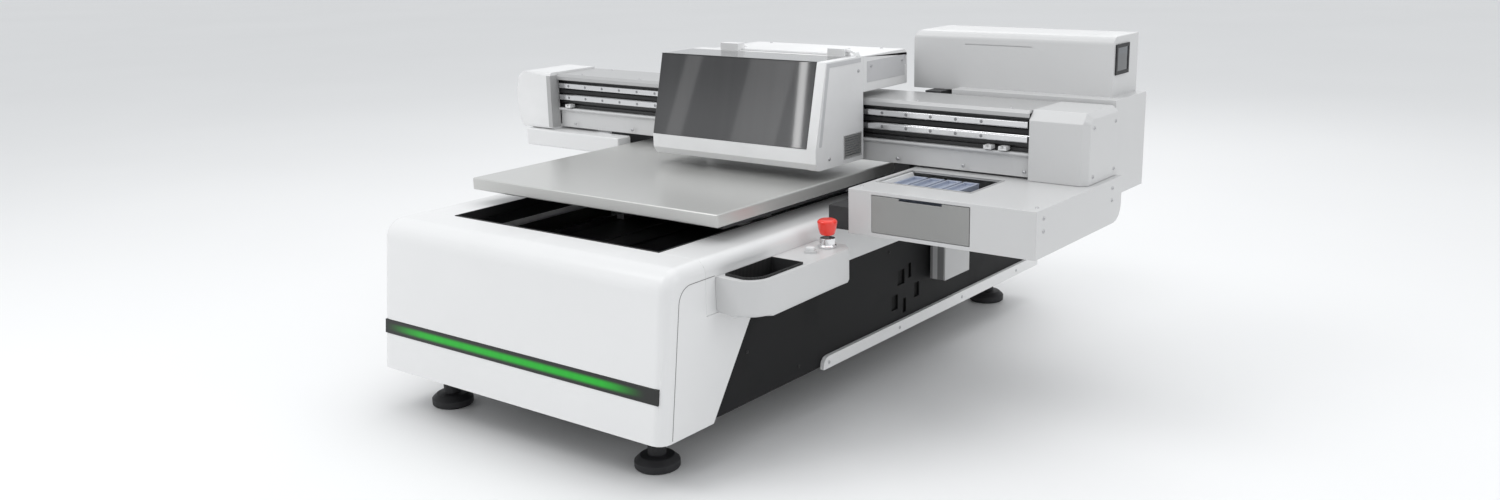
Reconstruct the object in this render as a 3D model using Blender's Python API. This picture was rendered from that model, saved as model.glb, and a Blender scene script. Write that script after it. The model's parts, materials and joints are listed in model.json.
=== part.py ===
"""Flatbed UV printer: a base cabinet with a sliding vacuum table, a gantry that carries the print
carriage across it, a maintenance station and an ink tower on the right.

Units are metres. +Z is up, +X is the operator's right and the operator stands on the -Y side.
Every size below is measured from the machine's own datum: X = 0 on the base centre line, Y = 0 at the
foot of the front panel and Z = 0 on the floor. One empty carries everything, so that the finished
machine has its origin under the middle of its box.
"""
import math

import bmesh
import bpy
from mathutils import Vector

for old in list(bpy.data.objects):
    bpy.data.objects.remove(old, do_unlink=True)

# ---------------------------------------------------------------- clearances and sheet
GAP = 0.0003            # between faces that touch
PLAY = 0.001            # running clearance
SHEET = 0.004           # casing wall

# ---------------------------------------------------------------- base cabinet
BASE_HALF = 0.404
BASE_LENGTH = 1.525
BASE_BOTTOM = 0.095
BASE_TOP = 0.416
FRONT_LEAN = 0.035      # how far the front panel leans back at the top
FRONT_ROUND = 0.045     # radius between front panel and top
SIDE_ROUND = 0.024      # radius of the long upright and top edges
OPENING_HALF = 0.292
OPENING_FRONT = 0.138
OPENING_BACK = 1.440
OPENING_LIP = 0.020
BAND_BOTTOM = 0.310     # lower edge of the white side band
CHEEK_FOOT = 0.149      # where the cheek's sloping rear edge starts
CHEEK_HEAD = 0.294      # and where it meets the band
LIGHT_BOTTOM = 0.172
LIGHT_TOP = 0.202
LIGHT_SEAT = 0.0025
PANEL_SET_BACK = 0.0055
PANEL_THICK = 0.005
SKIRT_FRONT = 0.509
SKIRT_TOP = 0.122
SKIRT_PROUD = 0.005
FRAME_BAR = 0.040
FRAME_HALF = 0.390
FRAME_BOTTOM = 0.100
RAIL_BEARER_TOP = 0.3357
FOOT_X = 0.300
FOOT_FRONT = 0.100
FOOT_BACK = 1.440
FOOT_RADIUS = 0.045
FOOT_PAD = 0.026
STEM_RADIUS = 0.010

# ---------------------------------------------------------------- table and its drive
DECK_THICK = 0.003
DECK_HALF = 0.347
Y_RAIL_X = 0.200
Y_RAIL_WIDTH = 0.020
Y_RAIL_HEIGHT = 0.015
Y_RAIL_FRONT = 0.075
Y_RAIL_BACK = 1.400
SADDLE_LENGTH = 0.400
SADDLE_THICK = 0.012
Y_PULLEY_RADIUS = 0.013
Y_PULLEY_FRONT = 0.080
Y_PULLEY_BACK = 1.425
BELT_THICK = 0.0015
BELT_WIDTH = 0.009
TABLE_HALF = 0.350
TABLE_FRONT = 0.244
TABLE_LENGTH = 1.000
TABLE_TOP = 0.475
TABLE_THICK = 0.0265
TABLE_FRAME = 0.018
RISER_LENGTH = 0.290

# ---------------------------------------------------------------- gantry
BEAM_LEFT = -0.700
BEAM_RIGHT = 0.768
BEAM_FRONT = 0.788
BEAM_DEPTH = 0.120
BEAM_BOTTOM = 0.530
BEAM_TOP = 0.625
BEAM_COVER = 0.007
X_RAIL_DEPTH = 0.012
X_RAIL_WIDTH = 0.014
X_RAIL_HIGH = 0.602
X_RAIL_LOW = 0.572
CAP_LEFT = -0.745
CAP_RIGHT = -0.617
CAP_FRONT = 0.750
CAP_BOTTOM = 0.488
CAP_TOP = 0.637
LOWER_COVER_RIGHT = -0.372
LOWER_COVER_BOTTOM = 0.444
UPRIGHT_THICK = 0.040
UPRIGHT_FRONT = 0.955
UPRIGHT_BACK = 1.071
UPRIGHT_FOOT = 0.190
X_PULLEY_RADIUS = 0.012
X_PULLEY_Y = 0.7965
X_PULLEY_HEIGHT = 0.011
MOTOR_SIDE = 0.042

# ---------------------------------------------------------------- right side: maintenance station and tower
STATION_LEFT = 0.461
STATION_RIGHT = 0.873
STATION_FRONT = 0.525
STATION_BACK = 0.921
STATION_BOTTOM = 0.396
STATION_TOP = 0.489
STATION_OPENING_X = (0.478, 0.692)
STATION_OPENING_Y = (0.608, 0.745)
FLAP_X = (0.517, 0.735)
FLAP_TOP = 0.480
HOUSING_LEFT = 0.734
HOUSING_RIGHT = 0.860
HOUSING_FRONT = 0.770
HOUSING_BACK = 0.918
HOUSING_TOP = 0.633
HOUSING_BEVEL = 0.020
TOWER_LEFT = 0.354
TOWER_RIGHT = 0.826
TOWER_FRONT = 0.960
TOWER_BACK = 1.090
TOWER_BOTTOM = 0.635
TOWER_TOP = 0.765
TOWER_ROUND = 0.030
TOWER_LEG_X = (0.470, 0.850)
TOWER_LEG_FRONT = 0.927
TOWER_LEG_BOTTOM = 0.440

# ---------------------------------------------------------------- print carriage
CARRIAGE_LEFT = -0.112
CARRIAGE_RIGHT = 0.342
CARRIAGE_FRONT = 0.583
CARRIAGE_REAR = 0.766
CARRIAGE_BOTTOM = 0.499
CARRIAGE_TOP = 0.724
CARRIAGE_LEAN = 0.042
LIP_TOP = 0.545
VISOR_THICK = 0.005
VISOR_RIGHT = 0.318
VISOR_BACK = 0.735
ARM_LEFT = -0.070
ARM_BACK = 0.950
ARM_BOTTOM = 0.645
LIFT_TRAVEL = 0.090
HEAD_BOTTOM = 0.494

# ---------------------------------------------------------------- side tray
TRAY_FRONT = 0.166
TRAY_BACK = 0.497
TRAY_RIGHT = 0.500
TRAY_BOTTOM = 0.308
TRAY_TOP = 0.380
TRAY_ROUND = 0.050
BIN_Y = (0.182, 0.327)
BIN_DEPTH = 0.055
STOP_AT = (0.455, 0.459)
STOP_RADIUS = 0.020
BUTTON_AT = (0.452, 0.404)
BUTTON_RADIUS = 0.009

ROUND = 24              # sides of a turned piece

# The machine's own datum sits at this place in the finished part's frame.
assembly = bpy.data.objects.new("assembly", None)
assembly.location = (-(CAP_LEFT + STATION_RIGHT) / 2, -BASE_LENGTH / 2, 0)
bpy.context.collection.objects.link(assembly)


# ---------------------------------------------------------------- finishes
def finish(name, colour, roughness, metallic=0.0):
    material = bpy.data.materials.new(name)
    material.use_nodes = True
    shader = material.node_tree.nodes["Principled BSDF"]
    shader.inputs["Base Color"].default_value = (*colour, 1)
    shader.inputs["Roughness"].default_value = roughness
    shader.inputs["Metallic"].default_value = metallic
    return material


FINISHES = {
    "white_paint": ((0.82, 0.82, 0.82), 0.35, 0),
    "grey_white_paint": ((0.60, 0.60, 0.59), 0.40, 0),
    "mid_grey_paint": ((0.31, 0.31, 0.30), 0.45, 0),
    "black_paint": ((0.017, 0.017, 0.018), 0.50, 0),
    "frame_paint": ((0.05, 0.05, 0.055), 0.50, 0),
    "table_anodised": ((0.45, 0.45, 0.43), 0.30, 1),
    "bright_steel": ((0.62, 0.62, 0.63), 0.25, 1),
    "black_anodised": ((0.04, 0.04, 0.04), 0.40, 1),
    "belt_rubber": ((0.02, 0.02, 0.02), 0.80, 0),
    "black_rubber": ((0.015, 0.015, 0.017), 0.70, 0),
    "smoked_glass": ((0.10, 0.10, 0.10), 0.10, 0),
    "green_lens": ((0.0, 0.35, 0.03), 0.20, 0),
    "red_plastic": ((0.90, 0.01, 0.0), 0.35, 0),
    "cap_plastic": ((0.38, 0.42, 0.50), 0.45, 0),
    "black_plastic": ((0.02, 0.02, 0.02), 0.45, 0),
    "ink_plastic": ((0.30, 0.30, 0.32), 0.40, 0),
}


# ---------------------------------------------------------------- modelling tools
def add_box(mesh, x, y, z):
    """A box between the pairs of limits x, y and z."""
    made = bmesh.ops.create_cube(mesh, size=1)["verts"]
    size = Vector((x[1] - x[0], y[1] - y[0], z[1] - z[0]))
    middle = Vector((x[0] + x[1], y[0] + y[1], z[0] + z[1])) / 2
    for vert in made:
        vert.co = middle + Vector(a * b for a, b in zip(vert.co, size))
    return made


def add_prism(mesh, outline, axis, low, high):
    """The outline swept along an axis. Its points are (y, z) along X, (x, z) along Y and (x, y) along Z."""
    place = {
        "X": lambda a, b, c: (c, a, b),
        "Y": lambda a, b, c: (a, c, b),
        "Z": lambda a, b, c: (a, b, c),
    }[axis]
    ends = []
    for level in (low, high):
        ends.append([mesh.verts.new(place(a, b, level)) for a, b in outline])
    mesh.faces.new(ends[0])
    mesh.faces.new(reversed(ends[1]))
    for i in range(len(outline)):
        j = (i + 1) % len(outline)
        mesh.faces.new((ends[0][j], ends[0][i], ends[1][i], ends[1][j]))
    return ends[0] + ends[1]


def add_turned(mesh, profile, axis, centre, sides=ROUND):
    """A solid of revolution; the profile holds (radius, distance along the axis) pairs, all off the axis."""
    place = {
        "X": lambda r, t, h: (h, r * math.cos(t), r * math.sin(t)),
        "Y": lambda r, t, h: (r * math.cos(t), h, r * math.sin(t)),
        "Z": lambda r, t, h: (r * math.cos(t), r * math.sin(t), h),
    }[axis]
    rings = []
    for radius, height in profile:
        ring = []
        for i in range(sides):
            point = Vector(place(radius, 2 * math.pi * i / sides, height)) + Vector(centre)
            ring.append(mesh.verts.new(point))
        rings.append(ring)
    for low, high in zip(rings, rings[1:]):
        for i in range(sides):
            j = (i + 1) % sides
            mesh.faces.new((low[i], low[j], high[j], high[i]))
    mesh.faces.new(rings[0])
    mesh.faces.new(reversed(rings[-1]))


def arc(centre, radius, start, stop, steps=5):
    """Points on an arc from one angle to another, in degrees."""
    points = []
    for i in range(steps + 1):
        angle = math.radians(start + (stop - start) * i / steps)
        points.append((centre[0] + radius * math.cos(angle), centre[1] + radius * math.sin(angle)))
    return points


def round_edges(mesh, chosen, radius, segments=3):
    """Rounds the edges whose two ends pass the test."""
    edges = [edge for edge in mesh.edges if chosen(edge.verts[0].co, edge.verts[1].co)]
    bmesh.ops.bevel(mesh, geom=edges, offset=radius, segments=segments, profile=0.5, affect="EDGES")


def make_object(name, mesh, origin):
    bmesh.ops.recalc_face_normals(mesh, faces=mesh.faces)
    bmesh.ops.translate(mesh, verts=mesh.verts, vec=-Vector(origin))
    data = bpy.data.meshes.new(name)
    mesh.to_mesh(data)
    mesh.free()
    thing = bpy.data.objects.new(name, data)
    thing.location = origin
    thing.parent = assembly
    bpy.context.collection.objects.link(thing)
    return thing


def part(name, mesh, finish_name, origin=(0, 0, 0), smooth=False):
    """A finished piece with its own material. A moving piece's origin lies on its joint's axis."""
    thing = make_object(name, mesh, origin)
    thing.data.materials.append(finish(name, *FINISHES[finish_name]))
    if smooth:
        thing.data.shade_smooth()
        thing.data.set_sharp_from_angle(angle=math.radians(40))
    return thing


def combine(thing, mesh, operation):
    """Cuts the mesh out of a piece, or welds it on."""
    tool = make_object(f"{thing.name}_{operation.lower()}_{len(thing.modifiers)}", mesh, (0, 0, 0))
    tool.hide_render = True
    tool.display_type = "WIRE"
    modifier = thing.modifiers.new(operation.title(), "BOOLEAN")
    modifier.operation = operation
    modifier.solver = "EXACT"
    modifier.object = tool


def cut(thing, mesh):
    combine(thing, mesh, "DIFFERENCE")


def weld(thing, mesh):
    combine(thing, mesh, "UNION")


def boxes(*limits):
    mesh = bmesh.new()
    for x, y, z in limits:
        add_box(mesh, x, y, z)
    return mesh


def soften(thing, width, segments=2):
    """A small radius on every edge sharper than 40 degrees."""
    modifier = thing.modifiers.new("Edge radius", "BEVEL")
    modifier.width = width
    modifier.segments = segments
    modifier.limit_method = "ANGLE"
    modifier.angle_limit = math.radians(40)


# ---------------------------------------------------------------- base cabinet
def front_y(z):
    """Where the leaning front panel's outer face is at a height."""
    return FRONT_LEAN * (z - BASE_BOTTOM) / (BASE_TOP - BASE_BOTTOM)


def front_path(inset, end, steps=6):
    """The front panel's outline: (y, z) points with their inward directions, from its foot over the rounded
    shoulder to the end of the flat top."""
    radius = FRONT_ROUND - inset
    shoulder = BASE_TOP - FRONT_ROUND
    centre = (front_y(shoulder) + FRONT_ROUND, shoulder)
    path = [((front_y(BASE_BOTTOM) + inset, BASE_BOTTOM), (1, 0))]
    for i in range(steps + 1):
        angle = math.radians(180 - 90 * i / steps)
        out = (math.cos(angle), math.sin(angle))
        point = (centre[0] + radius * out[0], centre[1] + radius * out[1])
        path.append((point, (-out[0], -out[1])))
    path.append(((end, BASE_TOP - inset), (0, -1)))
    return path


def add_front_solid(mesh, path, behind, half, radius, steps=4):
    """The path swept across the machine with rounded ends, closed behind through the (y, z) points given."""
    section = []
    for i in range(steps + 1):
        turn = math.radians(90 * i / steps)
        section.append((half - radius + radius * math.cos(turn), radius - radius * math.sin(turn)))
    section = [(-x, drop) for x, drop in section] + [(x, drop) for x, drop in reversed(section)]
    rows = []
    for (y, z), (in_y, in_z) in path:
        rows.append([mesh.verts.new((x, y + in_y * drop, z + in_z * drop)) for x, drop in section])
    left = [mesh.verts.new((-half, y, z)) for y, z in behind]
    right = [mesh.verts.new((half, y, z)) for y, z in behind]
    for row, after in zip(rows, rows[1:]):
        for i in range(len(section) - 1):
            mesh.faces.new((row[i], row[i + 1], after[i + 1], after[i]))
    for i in range(len(behind) - 1):
        mesh.faces.new((left[i], right[i], right[i + 1], left[i + 1]))
    mesh.faces.new([row[0] for row in rows] + left)
    mesh.faces.new([row[-1] for row in rows] + right)
    mesh.faces.new(rows[-1] + [right[0], left[0]])
    mesh.faces.new(rows[0] + [right[-1], left[-1]])


def make_front_fascia():
    mesh = bmesh.new()
    add_front_solid(mesh, front_path(0, OPENING_FRONT), [
        (OPENING_FRONT, BAND_BOTTOM - GAP), (CHEEK_HEAD, BAND_BOTTOM - GAP), (CHEEK_FOOT, BASE_BOTTOM),
    ], BASE_HALF, SIDE_ROUND)
    fascia = part("front_fascia", mesh, "white_paint")
    behind = CHEEK_HEAD + SIDE_ROUND
    lip = OPENING_FRONT - SHEET
    inside = front_path(SHEET, lip)
    foot = inside[0][0]
    inside[0] = ((foot[0], foot[1] - SHEET), (1, 0))
    cavity = bmesh.new()
    add_front_solid(cavity, inside, [
        (lip, BASE_TOP - OPENING_LIP), (behind, BASE_TOP - OPENING_LIP), (behind, foot[1] - SHEET),
    ], BASE_HALF - SHEET, SIDE_ROUND - SHEET)
    cut(fascia, cavity)
    groove = bmesh.new()
    depth = LIGHT_SEAT + GAP
    low, high = LIGHT_BOTTOM - GAP, LIGHT_TOP + GAP
    groove_outline = [
        (front_y(low) - SHEET, low),
        (front_y(low) + depth, low),
        (front_y(high) + depth, high),
        (front_y(high) - SHEET, high),
    ]
    half = BASE_HALF - SIDE_ROUND / 2
    add_prism(groove, groove_outline, "X", -half, half)
    cut(fascia, groove)


def make_light_bar():
    low, high = LIGHT_BOTTOM, LIGHT_TOP
    outline = [
        (front_y(low) - PLAY, low),
        (front_y(low) + LIGHT_SEAT, low),
        (front_y(high) + LIGHT_SEAT, high),
        (front_y(high) - PLAY, high),
    ]
    half = BASE_HALF - SIDE_ROUND / 2 - GAP
    mesh = bmesh.new()
    add_prism(mesh, outline, "X", -half, half)
    part("light_bar", mesh, "green_lens")


def make_top_cover():
    """A folded cover: two side bands, the strips beside the opening and the strip behind it."""
    front, back = OPENING_FRONT + GAP, BASE_LENGTH
    mesh = boxes(((-BASE_HALF, BASE_HALF), (front, back), (BAND_BOTTOM, BASE_TOP)))

    def long_top_edge(a, b):
        return abs(a.x - b.x) < GAP and min(a.z, b.z) > BASE_TOP - GAP

    round_edges(mesh, long_top_edge, SIDE_ROUND)
    cover = part("top_cover", mesh, "white_paint")
    inner = boxes((
        (-BASE_HALF + SHEET, BASE_HALF - SHEET),
        (front - SHEET, back + SHEET),
        (BAND_BOTTOM - SHEET, BASE_TOP - SHEET),
    ))

    def long_inner_edge(a, b):
        return abs(a.x - b.x) < GAP and min(a.z, b.z) > BASE_TOP - SHEET - GAP

    round_edges(inner, long_inner_edge, SIDE_ROUND - SHEET)
    cut(cover, inner)
    cut(cover, boxes((
        (-OPENING_HALF, OPENING_HALF),
        (front - SHEET, OPENING_BACK),
        (BASE_TOP - 2 * SHEET, BASE_TOP + SHEET),
    )))


def make_side_panels():
    """Black recessed panels; the right one has five cooling slots in two staggered rows."""
    outer = BASE_HALF - PANEL_SET_BACK
    y = (CHEEK_FOOT - 0.04, BASE_LENGTH - 0.010)
    z = (FRAME_BOTTOM, BAND_BOTTOM + 0.015)
    for side, name in ((-1, "side_panel_left"), (1, "side_panel_right")):
        x = sorted((side * outer, side * (outer - PANEL_THICK)))
        panel = part(name, boxes((x, y, z)), "black_paint")
        slots = []
        for centre_y, centre_z, length in (
            (0.835, 0.220, 0.030), (0.872, 0.228, 0.014), (0.904, 0.175, 0.022),
            (0.808, 0.166, 0.026), (0.850, 0.150, 0.014),
        ):
            slots.append((
                (x[0] - PLAY, x[1] + PLAY),
                (centre_y - length / 2, centre_y + length / 2),
                (centre_z - 0.017, centre_z + 0.017),
            ))
        cut(panel, boxes(*slots))


def make_skirts():
    for side, name in ((-1, "skirt_left"), (1, "skirt_right")):
        inner = BASE_HALF - PANEL_SET_BACK + GAP
        outer = BASE_HALF + SKIRT_PROUD
        x = sorted((side * inner, side * outer))
        mesh = boxes((x, (SKIRT_FRONT, BASE_LENGTH - 0.006), (BASE_BOTTOM, SKIRT_TOP)))

        def front_corner(a, b):
            return max(a.y, b.y) < SKIRT_FRONT + GAP and abs(a.y - b.y) < GAP and abs(a.z - b.z) < GAP \
                and min(a.z, b.z) > SKIRT_TOP - GAP

        round_edges(mesh, front_corner, (SKIRT_TOP - BASE_BOTTOM) * 0.7)
        part(name, mesh, "white_paint")


def make_rear_panel():
    """A flat sheet between the side panels, with a fan grille, the inlet's hole and the switch's hole."""
    half = BASE_HALF - PANEL_SET_BACK - PANEL_THICK - PLAY
    back = REAR_FACE
    top = BASE_TOP - SHEET - PLAY
    mesh = boxes(((-half, half), (back - SHEET, back), (FRAME_BOTTOM, top)))

    def top_corner(a, b):
        return abs(a.x - b.x) < GAP and min(a.z, b.z) > top - GAP

    round_edges(mesh, top_corner, SIDE_ROUND - SHEET)
    panel = part("rear_panel", mesh, "grey_white_paint")
    slots = []
    for i in range(GRILLE_SLOTS):
        z = GRILLE_BOTTOM + i * GRILLE_PITCH
        slots.append(((-GRILLE_HALF, GRILLE_HALF), (back - 2 * SHEET, back + SHEET), (z, z + GRILLE_SLOT)))
    for x, half_width, half_height in (
        (INLET_X, INLET_HALF[0], INLET_HALF[1]),
        (SWITCH_X, SWITCH_HALF[0], SWITCH_HALF[1]),
    ):
        slots.append((
            (x - half_width - GAP, x + half_width + GAP),
            (back - 2 * SHEET, back + SHEET),
            (INLET_Z - half_height - GAP, INLET_Z + half_height + GAP),
        ))
    cut(panel, boxes(*slots))


REAR_FACE = BASE_LENGTH - 0.003     # the rear panel sits inside the cover's edge
GRILLE_SLOTS = 6
GRILLE_PITCH = 0.016
GRILLE_SLOT = 0.007
GRILLE_HALF = 0.060
GRILLE_BOTTOM = 0.160
INLET_X = 0.230
INLET_Z = 0.180
INLET_HALF = (0.024, 0.014)
SWITCH_X = 0.300
SWITCH_HALF = (0.011, 0.015)
SWITCH_TILT_CLEAR = 0.0015


def make_inlet_and_switch():
    back = REAR_FACE
    half_x, half_z = INLET_HALF
    inlet = part("power_inlet", boxes((
        (INLET_X - half_x, INLET_X + half_x), (back - 0.025, back + GAP), (INLET_Z - half_z, INLET_Z + half_z),
    )), "black_plastic")
    rim = 0.004
    weld(inlet, boxes((
        (INLET_X - half_x - rim, INLET_X + half_x + rim),
        (back + GAP, back + GAP + 0.002),
        (INLET_Z - half_z - rim, INLET_Z + half_z + rim),
    )))
    cut(inlet, boxes((
        (INLET_X - half_x + rim, INLET_X + half_x - rim), (back - 0.018, back + 0.01),
        (INLET_Z - half_z + rim, INLET_Z + half_z - rim),
    )))
    half_x, half_z = SWITCH_HALF
    clear = SWITCH_TILT_CLEAR
    pivot = (SWITCH_X, back - 0.004, INLET_Z)
    mesh = bmesh.new()
    top, deep = half_z - clear, 0.008
    outline = [
        (back - 0.004 - deep, INLET_Z - top / 2), (back - 0.001, INLET_Z - top), (back + 0.001, INLET_Z),
        (back - 0.001, INLET_Z + top), (back - 0.004 - deep, INLET_Z + top / 2),
    ]
    add_prism(mesh, outline, "X", SWITCH_X - half_x + GAP, SWITCH_X + half_x - GAP)
    part("main_switch", mesh, "red_plastic", pivot)


def make_base_frame():
    """Welded square tube: four long bars, posts, cross bars and the bearers under the table's rails."""
    bar, half = FRAME_BAR, FRAME_HALF
    low = (FRAME_BOTTOM, FRAME_BOTTOM + bar)
    high = (BASE_TOP - OPENING_LIP - bar - PLAY, BASE_TOP - OPENING_LIP - PLAY)
    back = BASE_LENGTH - 0.020
    front = 0.060
    long_bars = []
    for side in (-1, 1):
        x = sorted((side * (half - bar), side * half))
        long_bars.append((x, (front, back), low))
        long_bars.append((x, (OPENING_FRONT + 0.02, back), high))
    frame = part("base_frame", boxes(*long_bars), "frame_paint")
    into = 0.005
    posts = []
    for y in (OPENING_FRONT + 0.03, (front + back) / 2, back - bar - 0.010):
        for side in (-1, 1):
            x = sorted((side * (half - bar + 0.0005), side * (half - 0.0005)))
            posts.append((x, (y, y + bar), (low[1] - into, high[0] + into)))
    weld(frame, boxes(*posts))
    inner = half - bar
    cross = []
    for y in (FOOT_FRONT, (FOOT_FRONT + FOOT_BACK) / 2, FOOT_BACK):
        cross.append(((-inner - into, inner + into), (y - bar / 2, y + bar / 2), (low[0] + 0.001, low[1] - 0.001)))
    bearer_bottom = RAIL_BEARER_TOP - bar
    for y in CROSS_Y:
        cross.append((
            (-inner - into, inner + into),
            (y, y + bar),
            (bearer_bottom - bar + into, bearer_bottom + into / 2),
        ))
    weld(frame, boxes(*cross))
    bearers = []
    for side in (-1, 1):
        x = (side * Y_RAIL_X - bar / 2, side * Y_RAIL_X + bar / 2)
        bearers.append((x, (Y_RAIL_FRONT, Y_RAIL_BACK + bar), (bearer_bottom, RAIL_BEARER_TOP)))
    weld(frame, boxes(*bearers))
    beams = []
    for y in CROSS_Y[1:2]:
        beams.append(((-inner + 0.1, -inner + 0.14), (y + 0.005, y + bar - 0.005), (low[1] - into, bearer_bottom - bar + 2 * into)))
    weld(frame, boxes(*beams))


CROSS_Y = (0.215, 0.745, 1.360)


def make_feet():
    for name, x, y in (
        ("foot_front_left", -FOOT_X, FOOT_FRONT), ("foot_front_right", FOOT_X, FOOT_FRONT),
        ("foot_rear_left", -FOOT_X, FOOT_BACK), ("foot_rear_right", FOOT_X, FOOT_BACK),
    ):
        mesh = bmesh.new()
        profile = [
            (FOOT_RADIUS - 0.003, 0), (FOOT_RADIUS, 0.003), (FOOT_RADIUS, FOOT_PAD * 0.6),
            (FOOT_RADIUS * 0.75, FOOT_PAD), (STEM_RADIUS * 1.8, FOOT_PAD + 0.002),
            (STEM_RADIUS * 1.8, FOOT_PAD + 0.020), (STEM_RADIUS, FOOT_PAD + 0.022),
            (STEM_RADIUS, FRAME_BOTTOM + 0.001 - GAP),
        ]
        add_turned(mesh, profile, "Z", (x, y, 0))
        part(name, mesh, "black_rubber", smooth=True)


# ---------------------------------------------------------------- table and its drive
DECK_BOTTOM = RAIL_BEARER_TOP + GAP
DECK_TOP = DECK_BOTTOM + DECK_THICK
Y_RAIL_TOP = DECK_TOP + GAP + Y_RAIL_HEIGHT
Y_PULLEY_Z = DECK_TOP + PLAY + Y_PULLEY_RADIUS + BELT_THICK
SADDLE_BOTTOM = Y_PULLEY_Z + Y_PULLEY_RADIUS + BELT_THICK + PLAY
SADDLE_TOP = SADDLE_BOTTOM + SADDLE_THICK
TABLE_BOTTOM = TABLE_TOP - TABLE_THICK
TABLE_MIDDLE = TABLE_FRONT + TABLE_LENGTH / 2
FRAME_TOP = TABLE_BOTTOM - GAP


def make_inner_deck():
    y = (front_y(DECK_TOP) + SHEET + 0.012, Y_PULLEY_BACK - MOTOR_SIDE)
    part("inner_deck", boxes(((-DECK_HALF, DECK_HALF), y, (DECK_BOTTOM, DECK_TOP))), "black_paint")


def make_y_rails():
    for side, name in ((-1, "y_rail_left"), (1, "y_rail_right")):
        x = (side * Y_RAIL_X - Y_RAIL_WIDTH / 2, side * Y_RAIL_X + Y_RAIL_WIDTH / 2)
        z = (DECK_TOP + GAP, Y_RAIL_TOP)
        back = Y_PULLEY_BACK - MOTOR_SIDE - PLAY
        part(name, boxes((x, (Y_RAIL_FRONT, back), z)), "bright_steel")


def make_table_saddle():
    """Plate on two long guide blocks that straddle the rails, with two risers that carry the table frame."""
    y = (TABLE_MIDDLE - 0.200, TABLE_MIDDLE - 0.200 + SADDLE_LENGTH)
    reach = Y_RAIL_X + Y_RAIL_WIDTH + 0.010
    leg = Y_RAIL_WIDTH / 2 + PLAY
    foot = DECK_TOP + 2 * PLAY
    groove = Y_RAIL_TOP + PLAY
    mesh = bmesh.new()
    outline = []
    for side in (-1, 1):
        mid = side * Y_RAIL_X
        hoof = [
            (mid - leg - 0.010, SADDLE_BOTTOM), (mid - leg - 0.010, foot), (mid - leg, foot),
            (mid - leg, groove), (mid + leg, groove), (mid + leg, foot),
            (mid + leg + 0.010, foot), (mid + leg + 0.010, SADDLE_BOTTOM),
        ]
        outline += hoof
    outline = [(-reach, SADDLE_BOTTOM)] + outline + [(reach, SADDLE_BOTTOM), (reach, SADDLE_TOP), (-reach, SADDLE_TOP)]
    add_prism(mesh, outline, "Y", *y)
    saddle = part("table_saddle", mesh, "black_anodised", (0, TABLE_MIDDLE, SADDLE_BOTTOM))
    risers = []
    for side in (-1, 1):
        x = (side * Y_RAIL_X - 0.012, side * Y_RAIL_X + 0.012)
        riser_y = (TABLE_MIDDLE - RISER_LENGTH / 2, TABLE_MIDDLE + RISER_LENGTH / 2)
        risers.append((x, riser_y, (SADDLE_TOP - 0.004, FRAME_TOP - TABLE_FRAME - GAP)))
    weld(saddle, boxes(*risers))


def make_table():
    y = (TABLE_FRONT + 0.060, TABLE_FRONT + TABLE_LENGTH - 0.060)
    z = (FRAME_TOP - TABLE_FRAME, FRAME_TOP)
    long_bars = []
    for x in (-0.300, -Y_RAIL_X, Y_RAIL_X, 0.300):
        long_bars.append(((x - 0.015, x + 0.015), y, z))
    frame = part("table_frame", boxes(*long_bars), "black_anodised", (0, TABLE_MIDDLE, z[0]))
    cross = []
    for i in range(4):
        middle = y[0] + 0.020 + i * (y[1] - y[0] - 0.040) / 3
        cross.append(((-0.310, 0.310), (middle - 0.015, middle + 0.015), (z[0] + 0.001, z[1] - 0.001)))
    weld(frame, boxes(*cross))
    mesh = boxes((
        (-TABLE_HALF, TABLE_HALF), (TABLE_FRONT, TABLE_FRONT + TABLE_LENGTH), (TABLE_BOTTOM, TABLE_TOP),
    ))
    top = part("table_top", mesh, "table_anodised", (0, TABLE_MIDDLE, TABLE_BOTTOM))
    soften(top, 0.0025)


def add_belt(mesh, first, last, radius, place, low, high):
    """A closed loop round two pulleys; place turns (along, across, width) into a point."""
    outer, inner = radius + BELT_THICK, radius + GAP
    loops = []
    for r in (outer, inner):
        points = []
        for i in range(13):
            angle = math.pi / 2 + math.pi * i / 12
            points.append((first + r * math.cos(angle), r * math.sin(angle)))
        for i in range(13):
            angle = -math.pi / 2 + math.pi * i / 12
            points.append((last + r * math.cos(angle), r * math.sin(angle)))
        loops.append([[mesh.verts.new(place(a, b, w)) for a, b in points] for w in (low, high)])
    count = len(loops[0][0])
    (outer_low, outer_high), (inner_low, inner_high) = loops
    for i in range(count):
        j = (i + 1) % count
        mesh.faces.new((outer_low[i], outer_low[j], outer_high[j], outer_high[i]))
        mesh.faces.new((inner_low[j], inner_low[i], inner_high[i], inner_high[j]))
        mesh.faces.new((outer_high[i], outer_high[j], inner_high[j], inner_high[i]))
        mesh.faces.new((outer_low[j], outer_low[i], inner_low[i], inner_low[j]))


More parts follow.
